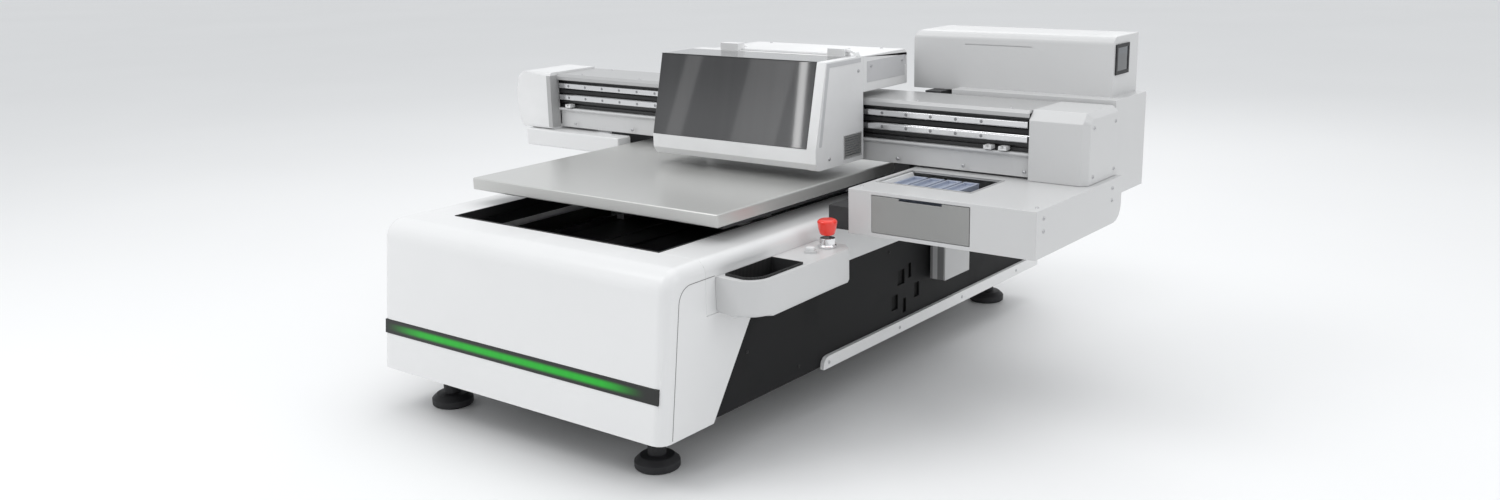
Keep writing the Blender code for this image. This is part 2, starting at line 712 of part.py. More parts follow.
def make_y_drive():
    for name, y in (("y_idler_pulley", Y_PULLEY_FRONT), ("y_drive_pulley", Y_PULLEY_BACK)):
        mesh = bmesh.new()
        half = BELT_WIDTH / 2 + PLAY
        add_turned(mesh, [(Y_PULLEY_RADIUS, -half), (Y_PULLEY_RADIUS, half)], "X", (0, y, Y_PULLEY_Z))
        part(name, mesh, "bright_steel", (0, y, Y_PULLEY_Z), smooth=True)
    mesh = bmesh.new()
    half = BELT_WIDTH / 2
    add_belt(mesh, Y_PULLEY_FRONT, Y_PULLEY_BACK, Y_PULLEY_RADIUS,
             lambda a, b, w: (w, a, Y_PULLEY_Z + b), -half, half)
    part("y_belt", mesh, "belt_rubber")
    side = MOTOR_SIDE / 2 - 0.004
    near = BELT_WIDTH / 2 + 3 * PLAY
    motor = part("y_motor", boxes((
        (near, near + 0.070), (Y_PULLEY_BACK - side, Y_PULLEY_BACK + side), (Y_PULLEY_Z - side, Y_PULLEY_Z + side),
    )), "black_anodised")
    weld(motor, boxes((
        (near, near + 0.006),
        (Y_PULLEY_BACK - 2 * side, Y_PULLEY_BACK - side + 0.002),
        (CROSS_TOP + GAP, Y_PULLEY_Z + side / 2),
    )))


CROSS_TOP = RAIL_BEARER_TOP - FRAME_BAR + 0.0025


# ---------------------------------------------------------------- gantry
CHANNEL_Z = ((X_RAIL_HIGH + X_RAIL_LOW) / 2 - X_PULLEY_HEIGHT / 2 - PLAY,
             (X_RAIL_HIGH + X_RAIL_LOW) / 2 + X_PULLEY_HEIGHT / 2 + PLAY)
BEAM_BACK = BEAM_FRONT + BEAM_DEPTH
RAIL_FRONT = BEAM_FRONT - GAP - X_RAIL_DEPTH
COVER_TOP = BEAM_TOP + GAP + BEAM_COVER


def make_uprights():
    """Thick plates bolted to the flanks of the base. Each carries the beam, and the right one the tower."""
    for side, name in ((-1, "gantry_upright_left"), (1, "gantry_upright_right")):
        seat = BEAM_BOTTOM - GAP
        arm_bottom = BASE_TOP + 0.014
        outline = [(UPRIGHT_FRONT, UPRIGHT_FOOT), (UPRIGHT_BACK, UPRIGHT_FOOT)]
        if side > 0:
            step = BEAM_BACK + 0.017
            outline += [(UPRIGHT_BACK, TOWER_BOTTOM - GAP), (step, TOWER_BOTTOM - GAP), (step, seat)]
        else:
            outline += [(UPRIGHT_BACK, seat)]
        outline += [(BEAM_FRONT + 0.004, seat), (BEAM_FRONT + 0.004, arm_bottom), (UPRIGHT_FRONT, arm_bottom)]
        x = sorted((side * (BASE_HALF + GAP), side * (BASE_HALF + GAP + UPRIGHT_THICK)))
        mesh = bmesh.new()
        add_prism(mesh, outline, "X", *x)
        upright = part(name, mesh, "grey_white_paint")
        if side > 0:
            weld(upright, boxes((
                (BASE_HALF + GAP + PLAY, STATION_LEFT - GAP),
                (STATION_FRONT + 0.012, UPRIGHT_FRONT + 0.020),
                (STATION_BOTTOM + 0.002, BASE_TOP + 0.030),
            )))


def make_beam():
    """Extruded aluminium with a belt channel between the rails and slots above, below and behind."""
    slot, wide = 0.008, 0.004
    front, back = BEAM_FRONT, BEAM_BACK
    low, high = CHANNEL_Z
    outline = [
        (front, BEAM_BOTTOM), (front, BEAM_BOTTOM + 0.022), (front + slot, BEAM_BOTTOM + 0.022),
        (front + slot, BEAM_BOTTOM + 0.022 + wide), (front, BEAM_BOTTOM + 0.022 + wide),
        (front, low), (X_PULLEY_Y + X_PULLEY_RADIUS + BELT_THICK + 2 * PLAY, low),
        (X_PULLEY_Y + X_PULLEY_RADIUS + BELT_THICK + 2 * PLAY, high), (front, high),
        (front, BEAM_TOP), (back, BEAM_TOP),
    ]
    for z in (BEAM_TOP - 0.022, BEAM_BOTTOM + 0.026):
        outline += [(back, z), (back - slot, z), (back - slot, z - wide), (back, z - wide)]
    outline += [(back, BEAM_BOTTOM)]
    mesh = bmesh.new()
    add_prism(mesh, outline, "X", BEAM_LEFT, BEAM_RIGHT)
    part("beam", mesh, "black_anodised")


def make_beam_covers():
    mesh = bmesh.new()
    front, back = BEAM_FRONT - 0.016, BEAM_BACK + 0.012
    bottom = BEAM_TOP + GAP
    outline = [
        (front, bottom - 0.008), (front + 0.002, bottom - 0.008), (front + 0.004, bottom),
        (back - 0.003, bottom), (back - 0.003, BEAM_BOTTOM + 0.040), (back, BEAM_BOTTOM + 0.040),
        (back, bottom + BEAM_COVER - 0.004), (back - 0.004, bottom + BEAM_COVER),
        (front + 0.006, bottom + BEAM_COVER), (front, bottom + BEAM_COVER - 0.006),
    ]
    add_prism(mesh, outline, "X", CAP_RIGHT + PLAY, HOUSING_LEFT - PLAY)
    part("beam_top_cover", mesh, "grey_white_paint")
    mesh = bmesh.new()
    front, back = BEAM_FRONT - 0.013, BEAM_FRONT - GAP
    top = BEAM_BOTTOM + 0.014
    outline = [
        (back, top), (front, top), (front, top - 0.005), (front + 0.009, top - 0.010),
        (front + 0.009, STATION_TOP + 0.004), (back, STATION_TOP + 0.004),
    ]
    add_prism(mesh, outline, "X", CAP_RIGHT + PLAY, HOUSING_LEFT - PLAY)
    part("beam_lower_plate", mesh, "grey_white_paint")


def make_x_rails():
    for name, z in (("x_rail_upper", X_RAIL_HIGH), ("x_rail_lower", X_RAIL_LOW)):
        mesh = boxes((
            (CAP_RIGHT + 0.006, HOUSING_LEFT - 0.006),
            (RAIL_FRONT, BEAM_FRONT - GAP),
            (z - X_RAIL_WIDTH / 2, z + X_RAIL_WIDTH / 2),
        ))
        part(name, mesh, "bright_steel")


X_IDLER = BEAM_LEFT + 0.020
X_DRIVE = BEAM_RIGHT + 0.032
BELT_Z = (X_RAIL_HIGH + X_RAIL_LOW) / 2


def make_x_drive():
    half = X_PULLEY_HEIGHT / 2
    for name, x in (("x_idler_pulley", X_IDLER), ("x_drive_pulley", X_DRIVE)):
        mesh = bmesh.new()
        add_turned(mesh, [(X_PULLEY_RADIUS, -half), (X_PULLEY_RADIUS, half)], "Z", (x, X_PULLEY_Y, BELT_Z))
        part(name, mesh, "bright_steel", (x, X_PULLEY_Y, BELT_Z), smooth=True)
    mesh = bmesh.new()
    add_belt(mesh, X_IDLER, X_DRIVE, X_PULLEY_RADIUS,
             lambda a, b, w: (a, X_PULLEY_Y + b, w), BELT_Z - BELT_WIDTH / 2, BELT_Z + BELT_WIDTH / 2)
    part("x_belt", mesh, "belt_rubber")
    side = MOTOR_SIDE / 2
    top = BELT_Z - half - PLAY
    motor = part("x_motor", boxes((
        (X_DRIVE - side, X_DRIVE + side), (X_PULLEY_Y - side, X_PULLEY_Y + side), (top - 0.050, top),
    )), "black_anodised")
    weld(motor, boxes((
        (BEAM_RIGHT + GAP, BEAM_RIGHT + 0.008),
        (X_PULLEY_Y, BEAM_BACK - 0.010),
        (top - 0.030, top - 0.001),
    )))
    weld(motor, boxes((
        (BEAM_RIGHT + 0.004, X_DRIVE - side + 0.004),
        (X_PULLEY_Y + 0.004, X_PULLEY_Y + side - 0.004),
        (top - 0.020, top - 0.010),
    )))


def make_left_end():
    """A rounded cap closes the beam's left end and a shallow cover hangs under it."""
    outline = [(CAP_RIGHT, CAP_TOP), (CAP_RIGHT, CAP_BOTTOM), (CAP_LEFT + 0.012, CAP_BOTTOM)]
    outline += [(CAP_LEFT, CAP_BOTTOM + 0.030), (CAP_LEFT, CAP_TOP - 0.050)]
    outline += arc((CAP_LEFT + 0.030, CAP_TOP - 0.030), 0.030, 165, 90, 4)
    mesh = bmesh.new()
    back = BEAM_BACK + 0.014
    add_prism(mesh, outline, "Y", CAP_FRONT, back)

    def outer(a, b):
        return abs(a.y - b.y) < GAP and min(a.x, b.x) < CAP_RIGHT - GAP

    round_edges(mesh, outer, 0.010, 2)
    cap = part("left_end_cap", mesh, "white_paint")
    cut(cap, boxes((
        (BEAM_LEFT - 0.010, CAP_RIGHT + 0.01),
        (CAP_FRONT + 0.012, back - 0.011),
        (CAP_BOTTOM + 0.012, BEAM_TOP + 0.003),
    )))
    top = CAP_BOTTOM - GAP
    upright = BASE_HALF + UPRIGHT_THICK + 2 * PLAY
    front = CAP_FRONT - 0.012
    mesh = bmesh.new()
    outline = [
        (CAP_LEFT + 0.040, front), (LOWER_COVER_RIGHT, front), (LOWER_COVER_RIGHT, BEAM_FRONT - 0.002),
        (-upright, BEAM_FRONT - 0.002), (-upright, back), (CAP_LEFT + 0.040, back),
    ]
    add_prism(mesh, outline, "Z", LOWER_COVER_BOTTOM, top)
    cover = part("left_lower_cover", mesh, "white_paint")
    soften(cover, 0.004)


# ---------------------------------------------------------------- maintenance station
def make_station_housing():
    drop = 0.036
    outline = [
        (STATION_FRONT, STATION_BOTTOM), (STATION_FRONT, STATION_TOP), (STATION_BACK, STATION_TOP),
        (STATION_BACK, STATION_BOTTOM + drop),
    ]
    outline += arc((STATION_BACK - drop, STATION_BOTTOM + drop), drop, 0, -90, 4)[1:]
    mesh = bmesh.new()
    add_prism(mesh, outline, "X", STATION_LEFT, STATION_RIGHT)
    housing = part("station_housing", mesh, "grey_white_paint")
    inner_back = STATION_BACK - 0.015
    cut(housing, boxes((
        (STATION_LEFT + SHEET, STATION_RIGHT - SHEET),
        (STATION_FRONT + SHEET, inner_back),
        (STATION_BOTTOM + SHEET, STATION_TOP - SHEET),
    )))
    cut(housing, boxes((STATION_OPENING_X, STATION_OPENING_Y, (STATION_TOP - 2 * SHEET, STATION_TOP + SHEET))))
    cut(housing, boxes((
        (FLAP_X[0] - PLAY, FLAP_X[1] + PLAY),
        (STATION_FRONT - SHEET, STATION_FRONT + 2 * SHEET),
        (STATION_BOTTOM + 2 * SHEET, FLAP_TOP + PLAY),
    )))


FLAP_BOTTOM = STATION_BOTTOM + 2 * SHEET + PLAY
SLOT_X = (0.579, 0.675)


def make_flap():
    """The flap turns down about its bottom edge; a notch in its top edge takes a finger."""
    y = (STATION_FRONT, STATION_FRONT + SHEET - PLAY / 2)
    mesh = boxes((FLAP_X, y, (FLAP_BOTTOM, FLAP_TOP)))
    flap = part("maintenance_flap", mesh, "mid_grey_paint", (0, STATION_FRONT, FLAP_BOTTOM))
    cut(flap, boxes((SLOT_X, (y[0] - PLAY, y[1] + PLAY), (FLAP_TOP - 0.005, FLAP_TOP + PLAY))))


CAP_UNIT_TOP = STATION_TOP - 0.006
CAP_UNIT_BOTTOM = STATION_BOTTOM + SHEET + 0.020
CAP_X = (0.492, 0.652)
CAP_Y = (0.622, 0.732)


def make_cap_unit():
    """Four rubber caps on a lifting carrier; they close the heads when the carriage is parked."""
    bottom = CAP_UNIT_BOTTOM
    unit = part("cap_unit", boxes((CAP_X, CAP_Y, (bottom, CAP_UNIT_TOP - 0.018))), "cap_plastic",
                (sum(CAP_X) / 2, sum(CAP_Y) / 2, bottom))
    count = 4
    pitch = (CAP_X[1] - CAP_X[0]) / count
    caps, wells = [], []
    for i in range(count):
        x = (CAP_X[0] + i * pitch + 0.003, CAP_X[0] + (i + 1) * pitch - 0.003)
        y = (CAP_Y[0] + 0.006, CAP_Y[1] - 0.006)
        caps.append((x, y, (CAP_UNIT_TOP - 0.020, CAP_UNIT_TOP)))
        wells.append(((x[0] + 0.005, x[1] - 0.005), (y[0] + 0.006, y[1] - 0.006), (CAP_UNIT_TOP - 0.006, CAP_UNIT_TOP + 0.01)))
    weld(unit, boxes(*caps))
    cut(unit, boxes(*wells))


WIPER_X = (0.662, 0.684)
WIPER_Y = (0.618, 0.650)
WIPER_TRAVEL = 0.080
GUIDE_TOP = STATION_TOP - 0.036


def make_station_base():
    """Moulded base in the station: a plinth under the caps and the wiper's guide beside it."""
    floor = STATION_BOTTOM + SHEET + GAP
    base = part("station_base", boxes((
        (CAP_X[0] + 0.010, CAP_X[1] - 0.010), (CAP_Y[0] + 0.010, CAP_Y[1] - 0.010), (floor, CAP_UNIT_BOTTOM - GAP),
    )), "black_plastic")
    weld(base, boxes((
        (WIPER_X[0] + 0.004, WIPER_X[1] - 0.004), (WIPER_Y[0], WIPER_Y[1] + WIPER_TRAVEL), (floor, GUIDE_TOP),
    )))
    weld(base, boxes((
        (CAP_X[0] + 0.030, WIPER_X[1] - 0.006), (CAP_Y[0] + 0.020, CAP_Y[1] - 0.020), (floor, floor + 0.008),
    )))


def make_wiper():
    """A rubber blade on a block that slides along the base's guide."""
    guide_top = GUIDE_TOP
    middle = sum(WIPER_X) / 2
    wiper = part("wiper", boxes((WIPER_X, WIPER_Y, (guide_top + GAP, guide_top + 0.016))), "black_rubber",
                 (middle, WIPER_Y[0], guide_top))
    weld(wiper, boxes((
        (WIPER_X[0] + 0.002, WIPER_X[1] - 0.002), (WIPER_Y[0] + 0.014, WIPER_Y[0] + 0.018),
        (guide_top + 0.010, STATION_TOP - 0.004),
    )))


def make_end_housing():
    """Cover over the beam's right end and the carriage motor, open towards the rails."""
    mesh = boxes(((HOUSING_LEFT, HOUSING_RIGHT), (HOUSING_FRONT, HOUSING_BACK), (STATION_TOP + GAP, HOUSING_TOP)))

    def front_top(a, b):
        along_x = abs(a.y - b.y) < GAP and abs(a.z - b.z) < GAP
        return along_x and max(a.y, b.y) < HOUSING_FRONT + GAP and min(a.z, b.z) > HOUSING_TOP - GAP

    round_edges(mesh, front_top, HOUSING_BEVEL, 1)

    def right_edges(a, b):
        right = min(a.x, b.x) > HOUSING_RIGHT - GAP
        floor = max(a.z, b.z) < STATION_TOP + 2 * GAP
        rear = min(a.y, b.y) > HOUSING_BACK - GAP
        return right and not floor and not rear

    round_edges(mesh, right_edges, HOUSING_BEVEL * 0.6, 1)
    housing = part("end_housing", mesh, "grey_white_paint")
    wall = 0.003
    room = bmesh.new()
    front, top = HOUSING_FRONT + wall, BEAM_TOP + PLAY
    knee = HOUSING_TOP - HOUSING_BEVEL - PLAY
    add_prism(room, [
        (front, STATION_TOP + wall), (front, knee), (front + top - knee, top),
        (HOUSING_BACK - wall, top), (HOUSING_BACK - wall, STATION_TOP + wall),
    ], "X", HOUSING_LEFT - 0.010, HOUSING_RIGHT - HOUSING_BEVEL * 0.6)
    cut(housing, room)
    cut(housing, boxes((
        (HOUSING_LEFT + 0.030, HOUSING_RIGHT - 0.030),
        (HOUSING_FRONT + 0.040, HOUSING_BACK + 0.01),
        (STATION_TOP + 0.030, STATION_TOP + 0.042),
    )))


# ---------------------------------------------------------------- ink and electronics tower
LID_THICK = 0.006
LID_X = (TOWER_LEFT + 0.040, TOWER_RIGHT - 0.060)
LID_Y = (TOWER_FRONT + 0.030, TOWER_BACK - 0.012)
TANK_FLOOR = TOWER_TOP - 0.095


def make_tower():
    mesh = boxes(((TOWER_LEFT, TOWER_RIGHT), (TOWER_FRONT, TOWER_BACK), (TOWER_BOTTOM, TOWER_TOP)))

    def top_edges(a, b):
        return min(a.z, b.z) > TOWER_TOP - GAP and max(a.y, b.y) < TOWER_BACK - GAP

    def left_edge(a, b):
        return min(a.z, b.z) > TOWER_TOP - GAP and max(a.x, b.x) < TOWER_LEFT + GAP

    round_edges(mesh, lambda a, b: top_edges(a, b) or left_edge(a, b), TOWER_ROUND * 0.6, 3)
    tower = part("tower_housing", mesh, "grey_white_paint")
    weld(tower, boxes((TOWER_LEG_X, (TOWER_LEG_FRONT, TOWER_BACK - 0.001), (TOWER_LEG_BOTTOM, TOWER_BOTTOM + 0.006))))
    wall = SHEET
    cut(tower, boxes((
        (LID_X[0] + 0.006, LID_X[1] - 0.006), (LID_Y[0] + 0.006, LID_Y[1] - 0.006), (TANK_FLOOR, TOWER_TOP + 0.01),
    )))
    cut(tower, boxes((
        (LID_X[0] - GAP, LID_X[1] + GAP), (LID_Y[0] - GAP, LID_Y[1] + 0.002), (TOWER_TOP - LID_THICK, TOWER_TOP + 0.01),
    )))
    cut(tower, boxes((
        (TOWER_LEG_X[0] + wall, TOWER_LEG_X[1] - wall),
        (TOWER_LEG_FRONT + wall, TOWER_BACK - 0.001 - wall),
        (TOWER_LEG_BOTTOM - 0.01, TOWER_BOTTOM - wall),
    )))
    cut(tower, boxes((
        (TOWER_RIGHT - DISPLAY_SEAT, TOWER_RIGHT + 0.01),
        (DISPLAY_Y[0] - GAP, DISPLAY_Y[1] + GAP),
        (DISPLAY_Z[0] - GAP, DISPLAY_Z[1] + GAP),
    )))


DISPLAY_SEAT = 0.004
DISPLAY_Y = (TOWER_FRONT + 0.014, TOWER_FRONT + 0.074)
DISPLAY_Z = (0.690, 0.745)


def make_tower_lid():
    z = (TOWER_TOP - LID_THICK + GAP, TOWER_TOP)
    part("tower_lid", boxes((LID_X, (LID_Y[0], LID_Y[1]), z)), "grey_white_paint", (0, LID_Y[1], TOWER_TOP))


def make_display():
    part("display_panel", boxes((
        (TOWER_RIGHT - DISPLAY_SEAT + GAP, TOWER_RIGHT + 0.002), DISPLAY_Y, DISPLAY_Z,
    )), "black_plastic")


def make_ink_tanks():
    """Six chambers in one moulding, each with a screw neck under the lid."""
    count = 6
    x = (LID_X[0] + 0.010, LID_X[1] - 0.010)
    y = (LID_Y[0] + 0.010, LID_Y[1] - 0.010)
    pitch = (x[1] - x[0]) / count
    mesh = boxes((x, y, (TANK_FLOOR + GAP, TOWER_TOP - 0.034)))
    tanks = part("ink_tanks", mesh, "ink_plastic")
    necks = bmesh.new()
    for i in range(count):
        centre = (x[0] + (i + 0.5) * pitch, sum(y) / 2, TOWER_TOP - 0.036)
        add_turned(necks, [(0.018, 0), (0.018, 0.022)], "Z", centre, 16)
    weld(tanks, necks)
    creases = []
    for i in range(1, count):
        middle = x[0] + i * pitch
        creases.append(((middle - 0.002, middle + 0.002), (y[0] - 0.01, y[0] + 0.008), (TANK_FLOOR - 0.01, TOWER_TOP)))
    cut(tanks, boxes(*creases))


# ---------------------------------------------------------------- print carriage
SLIDE_FRONT = 0.757
SLIDE_X = (0.000, 0.310)
BLOCK_LENGTH = 0.060


def make_x_slide():
    """The plate that runs on the beam: four guide blocks behind it, the lift's rails and actuator before it."""
    back = RAIL_FRONT - 0.009
    plate_y = (SLIDE_FRONT, back)
    mesh = boxes((SLIDE_X, plate_y, (X_RAIL_LOW - 0.045, X_RAIL_HIGH + 0.036)))
    slide = part("x_slide_plate", mesh, "black_anodised", (sum(SLIDE_X) / 2, RAIL_FRONT, BELT_Z))
    blocks, grooves = [], []
    for start in (SLIDE_X[0] + 0.010, SLIDE_X[1] - 0.010 - BLOCK_LENGTH):
        for z in (X_RAIL_LOW, X_RAIL_HIGH):
            x = (start, start + BLOCK_LENGTH)
            deep = RAIL_FRONT + 0.0055
            blocks.append((x, (back - 0.002, deep), (z - X_RAIL_WIDTH / 2 - 0.006, z + X_RAIL_WIDTH / 2 + 0.006)))
            grooves.append((
                (x[0] - 0.001, x[1] + 0.001),
                (RAIL_FRONT - PLAY, deep + 0.001),
                (z - X_RAIL_WIDTH / 2 - PLAY, z + X_RAIL_WIDTH / 2 + PLAY),
            ))
    weld(slide, boxes(*blocks))
    cut(slide, boxes(*grooves))
    rails = []
    for x in LIFT_RAIL_X:
        rails.append(((x - 0.006, x + 0.006), (SLIDE_FRONT - 0.008, SLIDE_FRONT + 0.002), (X_RAIL_LOW - 0.044, X_RAIL_HIGH + 0.035)))
    weld(slide, boxes(*rails))
    x, y = ROD_AT
    bottom = CARRIAGE_BOTTOM + 0.016
    weld(slide, boxes((
        (x - 0.020, x + 0.020), (y - 0.018, SLIDE_FRONT + 0.002), (bottom, ACTUATOR_TOP),
    )))
    bore = bmesh.new()
    profile = [(ROD_RADIUS + PLAY / 2, bottom + 0.004), (ROD_RADIUS + PLAY / 2, ACTUATOR_TOP + 0.010)]
    add_turned(bore, profile, "Z", (x, y, 0))
    cut(slide, bore)


LIFT_RAIL_X = (0.040, 0.200)
LIFT_PLATE_X = (-0.020, 0.246)


def make_lift_plate():
    """Carries the heads, lamps and shells up and down the two short rails."""
    y = (SLIDE_FRONT - 0.030, SLIDE_FRONT - 0.009)
    z = (CARRIAGE_BOTTOM + 0.016, CARRIAGE_TOP - 0.012)
    mesh = boxes((LIFT_PLATE_X, (y[0], y[1]), z))
    plate = part("lift_plate", mesh, "black_anodised", (sum(LIFT_PLATE_X) / 2, y[0], z[0]))
    grooves = []
    for x in LIFT_RAIL_X:
        grooves.append(((x - 0.007, x + 0.007), (y[1] - 0.002, y[1] + 0.01), (z[0] - 0.01, z[1] + 0.01)))
    cut(plate, boxes(*grooves))
    ear = z[1] - 0.012
    weld(plate, boxes((
        (LIFT_PLATE_X[1] - 0.005, ROD_AT[0] + 0.018), (y[0] + 0.001, y[1] - 0.003), (ear, z[1] - 0.001),
    )))
    rod = bmesh.new()
    add_turned(rod, [(ROD_RADIUS, z[0] + 0.006), (ROD_RADIUS, ear + 0.004)], "Z", (*ROD_AT, 0))
    weld(plate, rod)


ROD_AT = (0.278, 0.738)
ROD_RADIUS = 0.006
ACTUATOR_TOP = 0.632


def make_print_heads():
    """Carrier plate with three heads whose nozzle plates look down."""
    x, y = (0.010, 0.230), (0.628, SLIDE_FRONT - 0.030 - GAP)
    z = (CARRIAGE_BOTTOM + 0.018, CARRIAGE_BOTTOM + 0.028)
    heads = part("print_heads", boxes((x, y, z)), "black_anodised", (sum(x) / 2, y[0], z[0]))
    count = 3
    pitch = (x[1] - x[0]) / count
    bodies = []
    for i in range(count):
        middle = x[0] + (i + 0.5) * pitch
        bodies.append(((middle - 0.024, middle + 0.024), (y[0] + 0.010, y[1] - 0.012), (HEAD_BOTTOM, z[1] + 0.060)))
    weld(heads, boxes(*bodies))


LAMP_X = ((-0.098, -0.034), (0.248, 0.306))
LAMP_Y = (0.612, 0.702)


def make_uv_lamps():
    """Two curing lamps, open below, on one bracket bar in front of the heads."""
    z = (CARRIAGE_BOTTOM + 0.003, CARRIAGE_BOTTOM + 0.110)
    lamps, windows = [], []
    for x in LAMP_X:
        lamps.append((x, LAMP_Y, z))
        windows.append((
            (x[0] + 0.006, x[1] - 0.006), (LAMP_Y[0] + 0.006, LAMP_Y[1] - 0.006), (z[0] - 0.010, z[0] + 0.012),
        ))
    pair = part("uv_lamps", boxes(*lamps), "bright_steel")
    weld(pair, boxes((
        (LAMP_X[0][1] - 0.004, LAMP_X[1][0] + 0.004), (LAMP_Y[0] + 0.002, LAMP_Y[0] + 0.008),
        (z[1] - 0.030, z[1] - 0.010),
    )))
    cut(pair, boxes(*windows))


def carriage_outline(inset):
    """The cheek's outline in (y, z): chamfered foot, upright lip, then the lean up to the flat roof."""
    front = CARRIAGE_FRONT + inset
    top = CARRIAGE_TOP - inset
    return [
        (CARRIAGE_REAR + inset, CARRIAGE_BOTTOM), (front + 0.012, CARRIAGE_BOTTOM), (front, CARRIAGE_BOTTOM + 0.016),
        (front, LIP_TOP), (front + CARRIAGE_LEAN, top), (CARRIAGE_REAR + inset, top),
    ]


def make_carriage_shell():
    mesh = bmesh.new()
    add_prism(mesh, carriage_outline(0), "X", CARRIAGE_LEFT, CARRIAGE_RIGHT)
    shell = part("carriage_shell", mesh, "white_paint")
    seat = VISOR_THICK + GAP
    wall = 0.006
    hollow = bmesh.new()
    inner = carriage_outline(seat + wall / 6)
    inner = [(a, b - 0.02 if b < CARRIAGE_BOTTOM + GAP else b) for a, b in inner]
    add_prism(hollow, inner, "X", CARRIAGE_LEFT + wall, VISOR_RIGHT - 0.004)
    cut(shell, hollow)
    recess = bmesh.new()
    front_in = CARRIAGE_FRONT + seat
    lean_out = CARRIAGE_FRONT + CARRIAGE_LEAN
    add_prism(recess, [
        (CARRIAGE_FRONT - 0.02, LIP_TOP), (front_in, LIP_TOP), (front_in + CARRIAGE_LEAN, CARRIAGE_TOP - seat),
        (VISOR_BACK + GAP, CARRIAGE_TOP - seat), (VISOR_BACK + GAP, CARRIAGE_TOP + 0.02),
        (lean_out - 0.02, CARRIAGE_TOP + 0.02),
    ], "X", CARRIAGE_LEFT - 0.01, VISOR_RIGHT + GAP)
    cut(shell, recess)


def make_visor():
    """Smoked screen bent over into the roof, hinged behind at the top."""
    low = LIP_TOP + GAP
    thick = VISOR_THICK
    rise = CARRIAGE_TOP - LIP_TOP
    lean_at_low = CARRIAGE_LEAN * GAP / rise
    front, top = CARRIAGE_FRONT, CARRIAGE_TOP
    outline = [
        (front + lean_at_low, low), (front + CARRIAGE_LEAN, top), (VISOR_BACK, top), (VISOR_BACK, top - thick),
        (front + CARRIAGE_LEAN + thick, top - thick), (front + thick + lean_at_low, low),
    ]
    mesh = bmesh.new()
    add_prism(mesh, outline, "X", CARRIAGE_LEFT, VISOR_RIGHT)
    part("visor", mesh, "smoked_glass", (0, VISOR_BACK + 0.004, HINGE_Z))


HINGE_Z = CARRIAGE_TOP + 0.006
HINGE_X = ((-0.030, 0.020), (0.268, 0.312))


def make_visor_hinge():
    """Moulded rail along the roof's rear edge with two knuckles, in which the screen's pins turn."""
    y = (VISOR_BACK + 0.002, CARRIAGE_REAR - 0.004)
    knuckles = []
    for x in HINGE_X:
        knuckles.append((x, y, (CARRIAGE_TOP + GAP, CARRIAGE_TOP + 0.016)))
    hinge = part("visor_hinge", boxes(*knuckles), "white_paint")
    weld(hinge, boxes((
        (HINGE_X[0][0] + 0.004, HINGE_X[1][1] - 0.004), (y[1] - 0.010, y[1] - 0.002),
        (CARRIAGE_TOP + 2 * GAP, CARRIAGE_TOP + 0.004),
    )))


def make_arm_cover():
    """The carriage's rear cover, which reaches back over the beam."""
    back, bottom, top = ARM_BACK, ARM_BOTTOM, CARRIAGE_TOP
    y0 = CARRIAGE_REAR + GAP
    outline = [(y0, bottom), (back, bottom), (back, top - 0.018)]
    outline += arc((back - 0.018, top - 0.018), 0.018, 0, 90, 4)[1:]
    outline += [(y0, top)]
    mesh = bmesh.new()
    add_prism(mesh, outline, "X", ARM_LEFT, CARRIAGE_RIGHT)
    arm = part("carriage_arm_cover", mesh, "white_paint")
    cut(arm, boxes(((ARM_LEFT + SHEET, CARRIAGE_RIGHT - 3 * SHEET), (y0 + SHEET, back - 0.006), (bottom - 0.01, top - SHEET - 0.001))))
    recess = bmesh.new()
    add_prism(recess, [
        (y0 + 0.036, bottom + 0.040), (back - 0.006, bottom + 0.042),
        (back - 0.006, bottom + 0.068), (y0 + 0.036, bottom + 0.058),
    ], "X", CARRIAGE_RIGHT - SHEET, CARRIAGE_RIGHT + 0.01)
    cut(arm, recess)


# ---------------------------------------------------------------- side tray
def make_side_tray():
    """Moulded tray on the cheek: an open bin in front, a deck with the stop button behind."""
    left, right = BASE_HALF + GAP, TRAY_RIGHT
    outline = [(left, TRAY_FRONT)]
    outline += arc((right - TRAY_ROUND, TRAY_FRONT + TRAY_ROUND), TRAY_ROUND, -90, 0, 6)
    outline += [(right, TRAY_BACK - 0.028), (right - 0.028, TRAY_BACK), (left, TRAY_BACK)]
    mesh = bmesh.new()
    add_prism(mesh, outline, "Z", TRAY_BOTTOM, TRAY_TOP)

    def under_edge(a, b):
        low = max(a.z, b.z) < TRAY_BOTTOM + GAP
        return low and max(a.x, b.x) > left + GAP

    round_edges(mesh, under_edge, 0.010, 2)
    tray = part("side_tray", mesh, "grey_white_paint")
    cavity = bmesh.new()
    wall = 0.010
    outline = [(left + wall, BIN_Y[0])]
    outline += arc((right - TRAY_ROUND, TRAY_FRONT + TRAY_ROUND), TRAY_ROUND - wall, -75, 0, 5)
    outline += [(right - wall, BIN_Y[1]), (left + wall, BIN_Y[1])]
    add_prism(cavity, outline, "Z", TRAY_TOP - BIN_DEPTH, TRAY_TOP + 0.01)
    cut(tray, cavity)
    bezel = bmesh.new()
    add_turned(bezel, [(BUTTON_RADIUS + 0.004, -0.005), (BUTTON_RADIUS + 0.004, BEZEL)], "Z", (*BUTTON_AT, TRAY_TOP))
    weld(tray, bezel)
    well = bmesh.new()
    radius = BUTTON_RADIUS + 0.0004
    add_turned(well, [(radius, BEZEL - 0.006), (radius, BEZEL + 0.006)], "Z", (*BUTTON_AT, TRAY_TOP))
    cut(tray, well)


STOP_COLLAR = 0.026
BEZEL = 0.006


